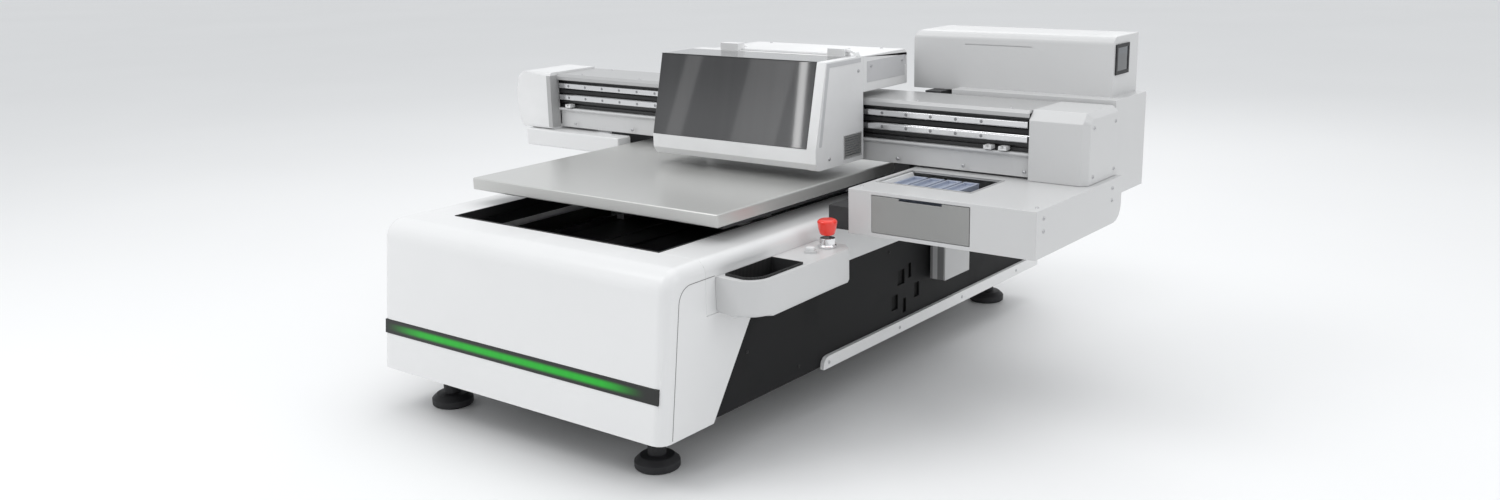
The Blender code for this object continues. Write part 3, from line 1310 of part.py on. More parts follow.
def make_stop_button():
    x, y = STOP_AT
    deck = TRAY_TOP + GAP
    mesh = bmesh.new()
    add_turned(mesh, [(0.019, 0), (0.019, 0.004), (0.0155, 0.006), (0.0155, STOP_COLLAR - 0.007)], "Z", (x, y, deck))
    part("stop_collar", mesh, "bright_steel", smooth=True)
    mesh = bmesh.new()
    base = deck + STOP_COLLAR - 0.0005
    profile = [
        (0.0125, 0), (0.0145, 0.001), (0.0180, 0.012), (STOP_RADIUS, 0.024), (STOP_RADIUS, 0.028),
        (STOP_RADIUS - 0.004, 0.0315), (0.008, 0.032),
    ]
    add_turned(mesh, profile, "Z", (x, y, base))
    part("stop_head", mesh, "red_plastic", (x, y, base), smooth=True)
    mesh = bmesh.new()
    profile = [(BUTTON_RADIUS, BEZEL - 0.001), (BUTTON_RADIUS, BEZEL + 0.005), (BUTTON_RADIUS - 0.002, BEZEL + 0.0065)]
    add_turned(mesh, profile, "Z", (*BUTTON_AT, TRAY_TOP))
    part("start_button", mesh, "white_paint", (*BUTTON_AT, TRAY_TOP), smooth=True)


make_base_frame()
make_front_fascia()
make_light_bar()
make_top_cover()
make_side_panels()
make_skirts()
make_rear_panel()
make_inlet_and_switch()
make_feet()
make_inner_deck()
make_y_rails()
make_table_saddle()
make_table()
make_y_drive()
make_uprights()
make_beam()
make_beam_covers()
make_x_rails()
make_x_drive()
make_left_end()
make_station_housing()
make_flap()
make_cap_unit()
make_station_base()
make_wiper()
make_end_housing()
make_tower()
make_tower_lid()
make_display()
make_ink_tanks()
make_x_slide()
make_lift_plate()
make_print_heads()
make_uv_lamps()
make_carriage_shell()
make_visor()
make_visor_hinge()
make_arm_cover()
make_side_tray()
make_stop_button()
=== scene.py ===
"""Looks of the flatbed UV printer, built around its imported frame."""
import json
import math

import bmesh
import bpy
from mathutils import Matrix, Quaternion, Vector

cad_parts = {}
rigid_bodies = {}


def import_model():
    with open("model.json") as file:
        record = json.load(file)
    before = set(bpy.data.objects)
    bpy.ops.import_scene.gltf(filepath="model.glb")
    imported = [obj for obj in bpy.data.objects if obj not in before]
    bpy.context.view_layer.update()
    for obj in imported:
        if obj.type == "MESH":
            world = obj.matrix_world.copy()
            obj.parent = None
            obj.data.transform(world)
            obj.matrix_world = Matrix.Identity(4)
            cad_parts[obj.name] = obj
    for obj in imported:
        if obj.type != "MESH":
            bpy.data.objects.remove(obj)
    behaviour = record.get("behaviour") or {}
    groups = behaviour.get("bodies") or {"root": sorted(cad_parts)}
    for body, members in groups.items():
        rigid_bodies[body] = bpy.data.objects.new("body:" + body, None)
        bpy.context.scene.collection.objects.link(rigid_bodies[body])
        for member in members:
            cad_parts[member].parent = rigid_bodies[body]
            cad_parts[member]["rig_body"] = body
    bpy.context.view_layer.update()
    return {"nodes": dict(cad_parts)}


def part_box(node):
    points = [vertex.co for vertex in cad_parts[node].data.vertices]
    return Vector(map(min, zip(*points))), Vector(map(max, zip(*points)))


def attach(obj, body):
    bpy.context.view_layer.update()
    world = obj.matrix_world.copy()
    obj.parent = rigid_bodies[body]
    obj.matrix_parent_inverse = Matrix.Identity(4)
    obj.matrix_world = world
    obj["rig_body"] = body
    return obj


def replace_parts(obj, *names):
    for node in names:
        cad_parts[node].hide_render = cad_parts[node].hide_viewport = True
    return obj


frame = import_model()
nodes = frame["nodes"]

# ---------------------------------------------------------------- studio
# A pale seamless floor, a large soft panel overhead, a key panel from the front left and a strip
# from the right that draws the long highlights on the painted sheet metal. Three narrow panels
# stand where the visor mirrors them, as streaks down its face.
bpy.ops.object.select_all(action="DESELECT")
bpy.context.scene.view_settings.view_transform = "Standard"
bpy.ops.object.camera_add(location=(1.831, -2.3985, 1.033))
camera = bpy.context.object
camera.data.lens = 31.5
camera.data.clip_start = 0.05
aim = Vector((-0.596, 0.763, -0.250))
roll = Quaternion((0, 0, 1), math.radians(-1.4))
camera.rotation_euler = (aim.to_track_quat("-Z", "Y") @ roll).to_euler()
bpy.context.scene.camera = camera


def soft_panel(name, place, towards, size, power, lean=0):
    """A rectangular studio light at one place, facing another and leaning over by some degrees."""
    bpy.ops.object.light_add(type="AREA", location=place)
    panel = bpy.context.object
    panel.name = name
    facing = (Vector(towards) - Vector(place)).to_track_quat("-Z", "Y")
    panel.rotation_euler = (facing @ Quaternion((0, 0, 1), math.radians(lean))).to_euler()
    panel.visible_camera = False
    panel.data.shape = "RECTANGLE"
    panel.data.size, panel.data.size_y = size
    panel.data.energy = power


soft_panel("overhead", (0.2, 0.3, 3.6), (0, 0, 0.4), (3.4, 3.0), 34)
soft_panel("key", (-1.6, -2.6, 3.7), (0, -0.2, 0.3), (2.4, 1.6), 44)
soft_panel("side_strip", (3.4, 0.4, 1.9), (0.2, 0, 0.4), (0.9, 2.2), 12)
soft_panel("rear_fill", (-1.0, 3.4, 2.4), (0, 0, 0.4), (2.4, 1.6), 14)
soft_panel("streak_wide", (-1.78, -2.60, 1.25), (0, -0.16, 0.62), (0.20, 1.7), 1.2)
soft_panel("streak_far", (-2.12, -2.45, 1.25), (0, -0.16, 0.62), (0.07, 1.7), 0.5)
soft_panel("streak_bright", (-1.62, -2.70, 1.25), (0.2, -0.16, 0.62), (0.035, 1.9), 2.6, lean=9)

sky = bpy.data.worlds.new("studio_air")
sky.use_nodes = True
sky.node_tree.nodes["Background"].inputs["Color"].default_value = (0.93, 0.95, 0.97, 1)
sky.node_tree.nodes["Background"].inputs["Strength"].default_value = 0.82
bpy.context.scene.world = sky

bpy.ops.mesh.primitive_plane_add(size=60, location=(0, 0, -0.0005))
floor = bpy.context.object
floor.name = "floor"
bpy.ops.object.transform_apply(location=True)


# ---------------------------------------------------------------- welded base frame and deck
# The base is welded square tube, painted dark grey before the covers go on. Sheet pieces are pressed
# with small bend radii, which is why most carried-over pieces are given rounded edges here.
class Socket:
    """One output of a material's nodes; arithmetic on it adds Math nodes."""

    def __init__(self, paint, output):
        self.paint = paint
        self.output = output

    def maths(self, operation, first, second):
        return self.paint.node("Math", {"operation": operation}, {0: first, 1: second})

    def __add__(self, other):
        return self.maths("ADD", self, other)

    __radd__ = __add__

    def __sub__(self, other):
        return self + -other

    def __rsub__(self, other):
        return self.maths("SUBTRACT", other, self)

    def __mul__(self, other):
        return self.maths("MULTIPLY", self, other)

    __rmul__ = __mul__


class Paint:
    """A material being mixed: its Principled shader and the nodes that feed it."""

    def __init__(self, name, **constants):
        self.material = bpy.data.materials.new(name)
        self.material.use_nodes = True
        self.tree = self.material.node_tree
        self.shader = self.tree.nodes["Principled BSDF"]
        for key, value in constants.items():
            self.shader.inputs[key.replace("_", " ")].default_value = value
        self.place = self.node("TexCoord", output="Object")

    def node(self, kind, settings=None, values=None, output=0):
        made = self.tree.nodes.new("ShaderNode" + kind)
        for key, value in (settings or {}).items():
            setattr(made, key, value)
        for key, value in (values or {}).items():
            self.feed(made.inputs[key], value)
        return Socket(self, made.outputs[output])

    def feed(self, target, value):
        if isinstance(value, Socket):
            self.tree.links.new(value.output, target)
        else:
            target.default_value = value

    def set(self, name, value):
        self.feed(self.shader.inputs[name], value)

    def noise(self, scale, detail=2.0, stretch=(1, 1, 1)):
        """Mottle of so many cells to the metre; a stretch under 1 draws it out along that axis."""
        place = self.node("Mapping", {}, {"Vector": self.place, "Scale": stretch})
        return self.node("TexNoise", {}, {"Vector": place, "Scale": scale, "Detail": detail})

    def along(self, axis):
        """The surface point's X, Y or Z in metres."""
        return self.node("SeparateXYZ", {}, {0: self.place}, output=axis)

    def ramp(self, value, low, high):
        """0 below low, 1 above high, and a smooth slope between; it falls where high is the smaller."""
        limits = {"Value": value, "From Min": low, "From Max": high}
        return self.node("MapRange", {"clamp": True, "interpolation_type": "SMOOTHSTEP"}, limits)

    def mix(self, factor, low, high):
        fill = {0: factor, 6: (*low, 1) if isinstance(low, tuple) else low,
                7: (*high, 1) if isinstance(high, tuple) else high}
        return self.node("Mix", {"data_type": "RGBA"}, fill, output=2)

    def bump(self, height, depth):
        """Raises the surface by height, from 0 to 1, times depth in metres."""
        self.set("Normal", self.node("Bump", {}, {"Height": height, "Distance": depth}))


def shade(colour, factor):
    return tuple(min(1.0, part * factor) for part in colour)


def powder_coat(name, colour, roughness=0.38, coat=0.25, peel_depth=0.00006, shine=0.45):
    """Stoved powder coat: faint orange peel, slow drift of tone, handling marks in the gloss."""
    paint = Paint(name, Coat_Roughness=0.18, Specular_IOR_Level=shine)
    peel = paint.noise(620, 3)
    drift = paint.noise(2.6, 3)
    marks = paint.ramp(paint.noise(9, 5), 0.52, 0.75)
    paint.set("Base Color", paint.mix(drift, shade(colour, 0.955), shade(colour, 1.035)))
    paint.set("Roughness", roughness + peel * 0.05 + marks * 0.07)
    if coat:
        paint.set("Coat Weight", coat - marks * coat * 0.6)
    paint.bump(peel, peel_depth)
    return paint.material


def soften(name, radius, material, segments=2, merge=True, new_name=None):
    """A copy of a carried-over piece with its sharp edges rounded; it stands for that piece."""
    bpy.ops.object.select_all(action="DESELECT")
    copy = bpy.data.objects.new(new_name or name + "_finished", nodes[name].data.copy())
    bpy.context.scene.collection.objects.link(copy)
    bpy.context.view_layer.objects.active = copy
    copy.select_set(True)
    bpy.ops.object.mode_set(mode="EDIT")
    bpy.ops.mesh.select_all(action="SELECT")
    bpy.ops.mesh.remove_doubles(threshold=0.00002)
    if merge:
        bpy.ops.mesh.dissolve_limited(angle_limit=math.radians(0.6))
    bpy.ops.object.mode_set(mode="OBJECT")
    round_off(copy, radius, segments)
    dress(copy, nodes[name]["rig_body"], material)
    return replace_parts(copy, name)


def round_off(piece, radius, segments=2, angle=34):
    """Rounds every edge sharper than the angle, then smooths the shading."""
    bpy.context.view_layer.objects.active = piece
    bevel = piece.modifiers.new("rounded", "BEVEL")
    bevel.width = radius
    bevel.segments = segments
    bevel.limit_method = "ANGLE"
    bevel.angle_limit = math.radians(angle)
    bevel.use_clamp_overlap = True
    bpy.ops.object.modifier_apply(modifier=bevel.name)
    return even_out(piece)


def even_out(piece):
    """Smooth shading that keeps large faces flat right up to their rounded edges."""
    bpy.ops.object.select_all(action="DESELECT")
    bpy.context.view_layer.objects.active = piece
    piece.select_set(True)
    bpy.ops.object.shade_smooth_by_angle(angle=math.radians(35))
    even = piece.modifiers.new("even", "WEIGHTED_NORMAL")
    even.weight = 80
    even.keep_sharp = True
    bpy.ops.object.modifier_apply(modifier=even.name)
    piece.select_set(False)
    return piece


def dress(piece, body, material):
    """Gives a finished piece its material and its body."""
    piece.data.materials.clear()
    piece.data.materials.append(material)
    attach(piece, body)
    return piece


def finish(piece, name, body, material, radius=0.0, segments=2):
    """Rounds a new piece where a radius is given, names it and dresses it."""
    if radius:
        round_off(piece, radius, segments)
    piece.name = name
    return dress(piece, body, material)


def repaint(material, *names):
    """Gives carried-over pieces that keep their own shape a better material."""
    for name in names:
        nodes[name].data.materials.clear()
        nodes[name].data.materials.append(material)


frame_coat = powder_coat("frame_coat", (0.045, 0.046, 0.05), 0.5, 0.1)
deck_coat = powder_coat("deck_coat", (0.012, 0.012, 0.013), 0.42, 0.2)
repaint(frame_coat, "base_frame")
repaint(deck_coat, "inner_deck")


# ---------------------------------------------------------------- levelling feet
# Each foot is a moulded rubber pad on a zinc-plated stud; a lock nut holds it under the frame.
def moulded(name, colour, roughness=0.45, grain=900, depth=0.00005, coat=0.0):
    """Injection-moulded plastic or rubber: fine eroded grain and a little uneven gloss."""
    paint = Paint(name, Coat_Roughness=0.1, Coat_Weight=coat)
    texture = paint.noise(grain, 2)
    cloud = paint.noise(14, 4)
    paint.set("Base Color", paint.mix(cloud, shade(colour, 0.92), shade(colour, 1.06)))
    paint.set("Roughness", roughness - 0.04 + cloud * 0.08)
    paint.bump(texture, depth)
    return paint.material


def metal(name, colour, roughness=0.28, stretch=(1, 1, 1), depth=0.00002, scale=1500):
    """Bare or plated metal; its grain is drawn out along the axis whose stretch is small."""
    paint = Paint(name, Metallic=1.0)
    grain = paint.noise(scale, 2, stretch)
    cloud = paint.noise(5, 3)
    paint.set("Base Color", paint.mix(grain, shade(colour, 0.9), shade(colour, 1.08)))
    paint.set("Roughness", roughness - 0.03 + cloud * 0.06 + grain * 0.05)
    paint.bump(grain, depth)
    return paint.material


def turned(profile, steps=32):
    """A solid of revolution on Z, drawn up ring by ring from (radius, z) pairs."""
    bpy.ops.object.select_all(action="DESELECT")
    radius, z = profile[0]
    spot = (0, 0, z)
    bpy.ops.mesh.primitive_circle_add(vertices=steps, radius=radius, fill_type="NGON", location=spot)
    piece = bpy.context.object
    bpy.ops.object.mode_set(mode="EDIT")
    bpy.ops.mesh.select_all(action="SELECT")
    for (radius, z), (wider, higher) in zip(profile, profile[1:]):
        bpy.ops.mesh.extrude_region_move(TRANSFORM_OT_translate={"value": (0, 0, higher - z)})
        ratio = wider / radius
        bpy.ops.transform.resize(value=(ratio, ratio, 1), center_override=(0, 0, higher))
    return close_up(piece)


def close_up(piece):
    """Points every face outwards, leaves edit mode and sets the object back on the origin."""
    bpy.ops.mesh.select_all(action="SELECT")
    bpy.ops.mesh.normals_make_consistent(inside=False)
    bpy.ops.object.mode_set(mode="OBJECT")
    bpy.ops.object.transform_apply(location=True, rotation=True, scale=True)
    return piece


def fasten(name, master, spots, body, material):
    """Copies of a master that stands on Z, one at each (place, outward direction), made one piece."""
    bpy.ops.object.select_all(action="DESELECT")
    for place, outward in spots:
        turn = Vector(outward).to_track_quat("Z", "Y").to_matrix().to_4x4()
        copy = bpy.data.objects.new(name, master.data.copy())
        copy.data.transform(Matrix.Translation(place) @ turn)
        bpy.context.scene.collection.objects.link(copy)
        copy.select_set(True)
        bpy.context.view_layer.objects.active = copy
    if len(spots) > 1:
        bpy.ops.object.join()
    piece = bpy.context.object
    piece.name = name
    bpy.ops.object.shade_smooth_by_angle(angle=math.radians(32))
    return dress(piece, body, material)


rubber = moulded("rubber", (0.014, 0.014, 0.016), 0.6, 600, 0.0001)
zinc = metal("zinc_plate", (0.60, 0.60, 0.58), 0.3, depth=0.00003, scale=700)
nut = turned([(0.0165, 0.0), (0.0185, 0.0012), (0.0185, 0.0088), (0.0165, 0.010)], 6)
thread = [(0.0103, 0.0)]
for turn in range(6):
    thread += [(0.0112, 0.002 * turn + 0.001), (0.0103, 0.002 * turn + 0.002)]
stud = turned(thread, 24)
feet = []
for corner in ("front_left", "front_right", "rear_left", "rear_right"):
    soften("foot_" + corner, 0.0008, rubber)
    low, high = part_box("foot_" + corner)
    feet.append(((low.x + high.x) / 2, (low.y + high.y) / 2))
nut_height, thread_height = 0.084, 0.070
fasten("foot_lock_nuts", nut, [((x, y, nut_height), (0, 0, 1)) for x, y in feet], "base", zinc)
fasten("foot_threads", stud, [((x, y, thread_height), (0, 0, 1)) for x, y in feet], "base", zinc)
for master in (nut, stud):
    bpy.data.objects.remove(master)

# ---------------------------------------------------------------- front panel, top cover and light
# One folded white panel makes the leaning front, its rounded shoulder and both cheeks; a second one
# makes the strips round the well and the side bands. A black lens with a green light line is let in.
white_coat = powder_coat("white_coat", (0.76, 0.76, 0.76), 0.34, 0.35)
soften("front_fascia", 0.0012, white_coat)
soften("top_cover", 0.0012, white_coat)


def block(low, high):
    """A box between two corners."""
    bpy.ops.object.select_all(action="DESELECT")
    low, high = Vector(low), Vector(high)
    bpy.ops.mesh.primitive_cube_add(size=1, location=(low + high) / 2, scale=high - low)
    bpy.ops.object.transform_apply(location=True, rotation=True, scale=True)
    return bpy.context.object


def plate(outline, axis, low, high):
    """An outline, filled and pulled out along an axis from low to high."""
    bpy.ops.object.select_all(action="DESELECT")
    bpy.ops.mesh.primitive_circle_add(vertices=len(outline), radius=1, fill_type="NGON")
    piece = bpy.context.object
    turn = {"X": (2, 0, 1), "Y": (0, 2, 1), "Z": (0, 1, 2)}[axis]
    for vert, (across, up) in zip(piece.data.vertices, outline):
        vert.co = [(across, up, low)[i] for i in turn]
    bpy.ops.object.mode_set(mode="EDIT")
    bpy.ops.mesh.select_all(action="SELECT")
    pull = [(0, 0, high - low)[i] for i in turn]
    bpy.ops.mesh.extrude_region_move(TRANSFORM_OT_translate={"value": pull})
    return close_up(piece)


def pick(piece, test):
    """Enters edit mode with the faces selected whose centre and normal pass the test."""
    bpy.ops.object.select_all(action="DESELECT")
    bpy.context.view_layer.objects.active = piece
    piece.select_set(True)
    bpy.ops.object.mode_set(mode="EDIT")
    bpy.ops.mesh.select_mode(type="FACE")
    bpy.ops.mesh.select_all(action="DESELECT")
    mesh = bmesh.from_edit_mesh(piece.data)
    for face in mesh.faces:
        face.select_set(test(face.calc_center_median(), face.normal))
    mesh.select_flush_mode()
    bmesh.update_edit_mesh(piece.data)


def carve(piece, *tools):
    """Cuts each tool out of the piece and clears the tool away."""
    bpy.context.view_layer.objects.active = piece
    for tool in tools:
        cut = piece.modifiers.new("cut", "BOOLEAN")
        cut.operation = "DIFFERENCE"
        cut.solver = "EXACT"
        cut.object = tool
        bpy.ops.object.modifier_apply(modifier=cut.name)
        bpy.data.objects.remove(tool)
    return even_out(piece)


def ring(low, high, walls):
    """A block with a hole through it; the wall is negative along the hole's own axis."""
    low, high, walls = Vector(low), Vector(high), Vector(walls)
    return carve(block(low, high), block(low + walls, high - walls))


lens_paint = Paint(
    "light_lens", Roughness=0.35, Coat_Weight=0.3, Specular_IOR_Level=0.3, Emission_Strength=1.0)
lens_centre = -0.064
along, up = lens_paint.along(0) - lens_centre, lens_paint.along(2)
line = lens_paint.ramp(up, 0.1765, 0.1845) * lens_paint.ramp(up, 0.1975, 0.1895)
fade = lens_paint.ramp(along, -0.395, -0.25) * lens_paint.ramp(along, 0.365, 0.24)
cells = lens_paint.noise(60, 1, (1, 0, 0)) * 0.25 + 0.8
off_green, lit_green = (0.0, 0.0005, 0.0), (0.0, 0.42, 0.012)
lens_paint.set("Base Color", lens_paint.mix(line * fade, (0.006, 0.007, 0.006), (0.0, 0.02, 0.002)))
lens_paint.set("Emission Color", lens_paint.mix(line * fade * cells, off_green, lit_green))
soften("light_bar", 0.0006, lens_paint.material, new_name="light_lens")

# A grey bead on each cheek follows the front's own line down from under the tray.
seam_grey = moulded("seam_grey", (0.20, 0.20, 0.20), 0.6)
seam_foot, seam_end = 0.100, -0.598
bend_y, bend_z, bead = -0.6668, 0.3475, 0.0012
for side, x in zip(("left", "right"), (corner.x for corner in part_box("front_fascia"))):
    outer, inner = [(-0.7335, seam_foot)], [(-0.7335 + bead, seam_foot)]
    for step in range(8):
        turn = math.radians(172 - 82 * step / 7)
        for edge, reach in ((outer, 0.0350), (inner, 0.0350 - bead)):
            edge.append((bend_y + reach * math.cos(turn), bend_z + reach * math.sin(turn)))
    outer.append((seam_end, 0.3825))
    inner.append((seam_end, 0.3825 - bead))
    seam = plate(outer + inner[::-1], "X", x - 0.0005, x + 0.0005)
    finish(seam, "cheek_seam_" + side, "base", seam_grey)

# A black edge trim lines the well that the table runs over, so no raw sheet edge shows.
low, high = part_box("top_cover")
trim_black = moulded("trim_black", (0.012, 0.012, 0.013), 0.5)
play = Vector((0.0004, 0.0008, 0))
well_low = Vector((-0.356, -0.6245, high.z - 0.0205)) + play
well_high = Vector((0.228, 0.6775, high.z + 0.0012)) - play
trim_wall = 0.0026
trim = ring(well_low, well_high, (trim_wall, trim_wall, -0.01))
finish(trim, "well_trim", "base", trim_black, 0.0008)

# Button-head screws hold the bands, cheeks, skirts and panels to the frame.
screw = turned([(0.0038, -0.001), (0.0038, 0.0006), (0.0030, 0.0016), (0.0016, 0.0021)], 20)
bpy.ops.mesh.primitive_cylinder_add(vertices=6, radius=0.0013, depth=0.003, location=(0, 0, 0.0022))
carve(screw, bpy.context.object)
steel_screw = metal("steel_screw", (0.52, 0.52, 0.53), 0.3, depth=0.00001)
black_screw = metal("black_screw", (0.05, 0.05, 0.05), 0.4, depth=0.00001)
side_x = {1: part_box("top_cover")[1].x, -1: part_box("top_cover")[0].x}
panel_x = {1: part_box("side_panel_right")[1].x, -1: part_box("side_panel_left")[0].x}
skirt_x = {1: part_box("skirt_right")[1].x, -1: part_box("skirt_left")[0].x}
band_z, skirt_z, panel_z = 0.336, 0.1085, 0.290
band = [((side_x[s], y, band_z), (s, 0, 0)) for s in (-1, 1) for y in (-0.20, 0.07, 0.34, 0.60)]
band += [((side_x[-1], y, band_z), (-1, 0, 0)) for y in (-0.56, -0.40)]
band += [((skirt_x[s], y, skirt_z), (s, 0, 0)) for s in (-1, 1) for y in (-0.235, 0.05, 0.34, 0.63)]
fasten("band_screws", screw, band, "base", steel_screw)
panel_spots = [(-0.50, 0.205), (-0.33, 0.125), (-0.30, panel_z), (0.02, panel_z)]
panel_spots += [(0.33, panel_z), (0.62, panel_z), (0.70, 0.160)]
edge = [((panel_x[s], y, z), (s, 0, 0)) for s in (-1, 1) for y, z in panel_spots]
fasten("panel_screws", screw, edge, "base", black_screw)

# ---------------------------------------------------------------- side panels, skirts, rear panel
# Black sheet panels close the base; dark boxes behind their slots keep dust out of the electronics.
# The skirts are folded from the same white sheet as the top, the rear panel carries fan and inlet.
black_coat = powder_coat("black_coat", (0.0085, 0.0085, 0.009), 0.55, 0.0, 0.00012, shine=0.2)
for side in ("left", "right"):
    soften("side_panel_" + side, 0.0008, black_coat)
for side in ("left", "right"):
    soften("skirt_" + side, 0.001, white_coat)
soften("rear_panel", 0.001, black_coat)
dust_felt = moulded("dust_felt", (0.006, 0.006, 0.006), 0.9, 1500, 0.0004)
for s, side in ((-1, "left"), (1, "right")):
    gap, thick = 0.0065, 0.0040
    near, far = sorted((panel_x[s] - s * gap, panel_x[s] - s * (gap + thick)))
    backing = block((near, 0.025, 0.115), (far, 0.165, 0.245))
    finish(backing, "vent_backing_" + side, "base", dust_felt)
low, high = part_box("rear_panel")
backing = block((-0.132, low.y - 0.0045, 0.150), (0.004, low.y - 0.0012, 0.256))
finish(backing, "rear_vent_backing", "base", dust_felt)

# Two fan guards on the rear panel are chromed wire rings welded to a cross.
wire = metal("guard_wire", (0.70, 0.70, 0.71), 0.2, depth=0.00001)
fan_x, fan_z, fan_radius = (-0.375, -0.25), 0.215, 0.040
rings = []
for radius in (0.012, 0.021, 0.030, 0.039):
    bpy.ops.mesh.primitive_torus_add(
        major_radius=radius, minor_radius=0.0011, major_segments=40, minor_segments=8)
    rings.append(bpy.context.object)
for angle in (45, 135):
    spoke = block((-0.0012, -0.041, -0.0022), (0.0012, 0.041, -0.0006))
    spoke.data.transform(Matrix.Rotation(math.radians(angle), 4, "Z"))
    rings.append(spoke)
bpy.ops.object.select_all(action="DESELECT")
for wire_ring in rings:
    wire_ring.select_set(True)
bpy.context.view_layer.objects.active = rings[0]
bpy.ops.object.join()
guard = bpy.context.object
fasten("fan_guards", guard, [((x, high.y + 0.0026, fan_z), (0, 1, 0)) for x in fan_x], "base", wire)
bpy.data.objects.remove(guard)
for letter, x in zip("ab", fan_x):
    fan = turned([(fan_radius, 0.0), (fan_radius, 0.0012), (0.014, 0.0016), (0.012, 0.0020)], 48)
    upright = Matrix.Rotation(math.radians(-90), 4, "X")
    fan.data.transform(Matrix.Translation((x, high.y, fan_z)) @ upright)
    finish(fan, "fan_face_" + letter, "base", dust_felt)
rear = [((x, high.y, z), (0, 1, 0)) for x in (-0.44, -0.062, 0.315) for z in (0.14, 0.36)]
fasten("rear_screws", screw, rear, "base", steel_screw)
plug_black = moulded("plug_black", (0.015, 0.015, 0.016), 0.4)
soften("power_inlet", 0.0006, plug_black)
soften("main_switch", 0.0006, moulded("rocker_red", (0.55, 0.012, 0.008), 0.3, coat=0.4))
low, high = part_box("power_inlet")
centre = (low + high) / 2
blade = block((-0.001, -0.0021, 0), (0.001, 0.0021, 0.007))
round_off(blade, 0.0004)
brass = metal("contact_brass", (0.75, 0.62, 0.35), 0.25, depth=0.00001)
pins = [(-0.0165, -0.003), (-0.0025, -0.003), (-0.0095, 0.003)]
blades = [((centre.x + dx, high.y - 0.012, centre.z + dz), (0, 1, 0)) for dx, dz in pins]
fasten("inlet_contacts", blade, blades, "base", brass)
bpy.data.objects.remove(blade)

# ---------------------------------------------------------------- table drive
# Ground steel rails are bolted along the bearers; capped bolt holes show every 60 mm. The saddle is
# machined aluminium, the toothed belt black polyurethane.
cast_metal = metal("machined_metal", (0.50, 0.50, 0.51), 0.40, depth=0.00005, scale=500)
cap_steel = metal("bolt_cap", (0.30, 0.30, 0.31), 0.35, depth=0.00001)
y_rail_steel = metal("y_rail_steel", (0.70, 0.70, 0.71), 0.16, (1, 0.01, 1), 0.00001)
bolt_pitch, bolt_start = 0.060, 0.030
bolt_cap = turned([(0.0036, -0.0004), (0.0036, 0.00012), (0.0030, 0.0003), (0.0008, 0.00025)], 18)
caps = []
for side in ("left", "right"):
    soften("y_rail_" + side, 0.001, y_rail_steel)
    low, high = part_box("y_rail_" + side)
    middle, count = (low.x + high.x) / 2, int((high.y - low.y - bolt_start) / bolt_pitch) + 1
    caps += [((middle, low.y + bolt_start + bolt_pitch * i, high.z), (0, 0, 1)) for i in range(count)]
fasten("y_rail_bolt_caps", bolt_cap, caps, "base", cap_steel)
belt_rubber = Paint("belt_rubber", Roughness=0.62)
across_belt = {"wave_type": "BANDS", "bands_direction": "X"}
tooth = belt_rubber.node("TexWave", across_belt, {"Vector": belt_rubber.place, "Scale": 100})
belt_rubber.set("Base Color", belt_rubber.mix(tooth, (0.008, 0.008, 0.009), (0.022, 0.022, 0.023)))
belt_rubber.bump(tooth, 0.0003)
repaint(belt_rubber.material, "x_belt", "y_belt")
motor_black = moulded("motor_black", (0.016, 0.016, 0.017), 0.42)
for name in ("y_motor", "x_motor"):
    soften(name, 0.0012, motor_black)
repaint(cast_metal, "table_saddle", "x_slide_plate", "lift_plate")
repaint(cast_metal, "y_idler_pulley", "y_drive_pulley", "x_idler_pulley", "x_drive_pulley")

# ---------------------------------------------------------------- table
# A thick aluminium plate, ground flat and anodised satin grey, on a black welded sub-frame. The top
# face keeps a fine grinding grain.
table_paint = Paint(
    "table_anodised", Metallic=0.45, Coat_Weight=0.25, Coat_Roughness=0.22, Specular_IOR_Level=0.5)
grain = table_paint.noise(170, 2, (0.05, 1, 1))
cloud = table_paint.noise(3, 4)
dark, pale = (0.545, 0.545, 0.53), (0.58, 0.58, 0.565)
table_paint.set("Base Color", table_paint.mix(grain * 0.5 + cloud * 0.5, dark, pale))
table_paint.set("Roughness", 0.29 + cloud * 0.04)
soften("table_top", 0.0014, table_paint.material)
soften("table_frame", 0.001, frame_coat)

# ---------------------------------------------------------------- gantry beam, rails and belt
# The beam is an extrusion painted near black, so the gaps between the rails show dark; its folded cover is
# painted a darker grey than the housings, as painted shade on the beam's top.
# Two profiled steel rails with capped bolts run along its front; white sensors under the lower rail mark
# the ends of travel.
grey_coat = powder_coat("grey_coat", (0.60, 0.60, 0.60), 0.36, 0.25)
beam_black = powder_coat("beam_black", (0.020, 0.020, 0.021), 0.36, 0.2, 0.00004)
soften("beam", 0.0006, beam_black)
# The cover's colour is painted a darker grey than the grey housings, as painted shade on the beam's top.
shaded_cover_paint = Paint("cover_grey_painted_shade", Coat_Weight=0.2, Coat_Roughness=0.2, Metallic=0.35)
lines = shaded_cover_paint.noise(900, 2, (0.02, 1, 1))
tone = shaded_cover_paint.noise(4, 3, (0.4, 1, 1))
shaded_cover_paint.set("Base Color", shaded_cover_paint.mix(tone, (0.40, 0.40, 0.40), (0.52, 0.52, 0.52)))
shaded_cover_paint.set("Roughness", 0.30 + lines * 0.08)
shaded_cover_paint.bump(lines, 0.00003)
soften("beam_top_cover", 0.0012, shaded_cover_paint.material)
soften("beam_lower_plate", 0.0012, grey_coat)
soften("gantry_upright_left", 0.001, frame_coat)
# Light and dark grey bands across the right upright's colour are painted shading of the column; above z
# 0.3965 the colour is near black.
column = Paint("upright_painted_shading", Coat_Weight=0.15, Coat_Roughness=0.2)
across, height = column.along(0), column.along(2)
painted_shade_bands = column.ramp(across, 0.3465, 0.3475) * column.ramp(across, 0.3600, 0.3590)
painted_shade_bands = painted_shade_bands + column.ramp(across, 0.3755, 0.3765)
bright = column.ramp(height, 0.3965, 0.3955)
light = column.mix(painted_shade_bands, (0.22, 0.22, 0.22), (0.52, 0.52, 0.52))
column.set("Base Color", column.mix(bright, (0.030, 0.030, 0.032), light))
column.set("Roughness", 0.42 + column.noise(9, 4) * 0.08)
column.bump(column.noise(620, 3), 0.00006)
soften("gantry_upright_right", 0.001, column.material)
rail_steel = metal("rail_steel", (0.74, 0.74, 0.75), 0.15, (0.01, 1, 1), 0.00001)
caps = []
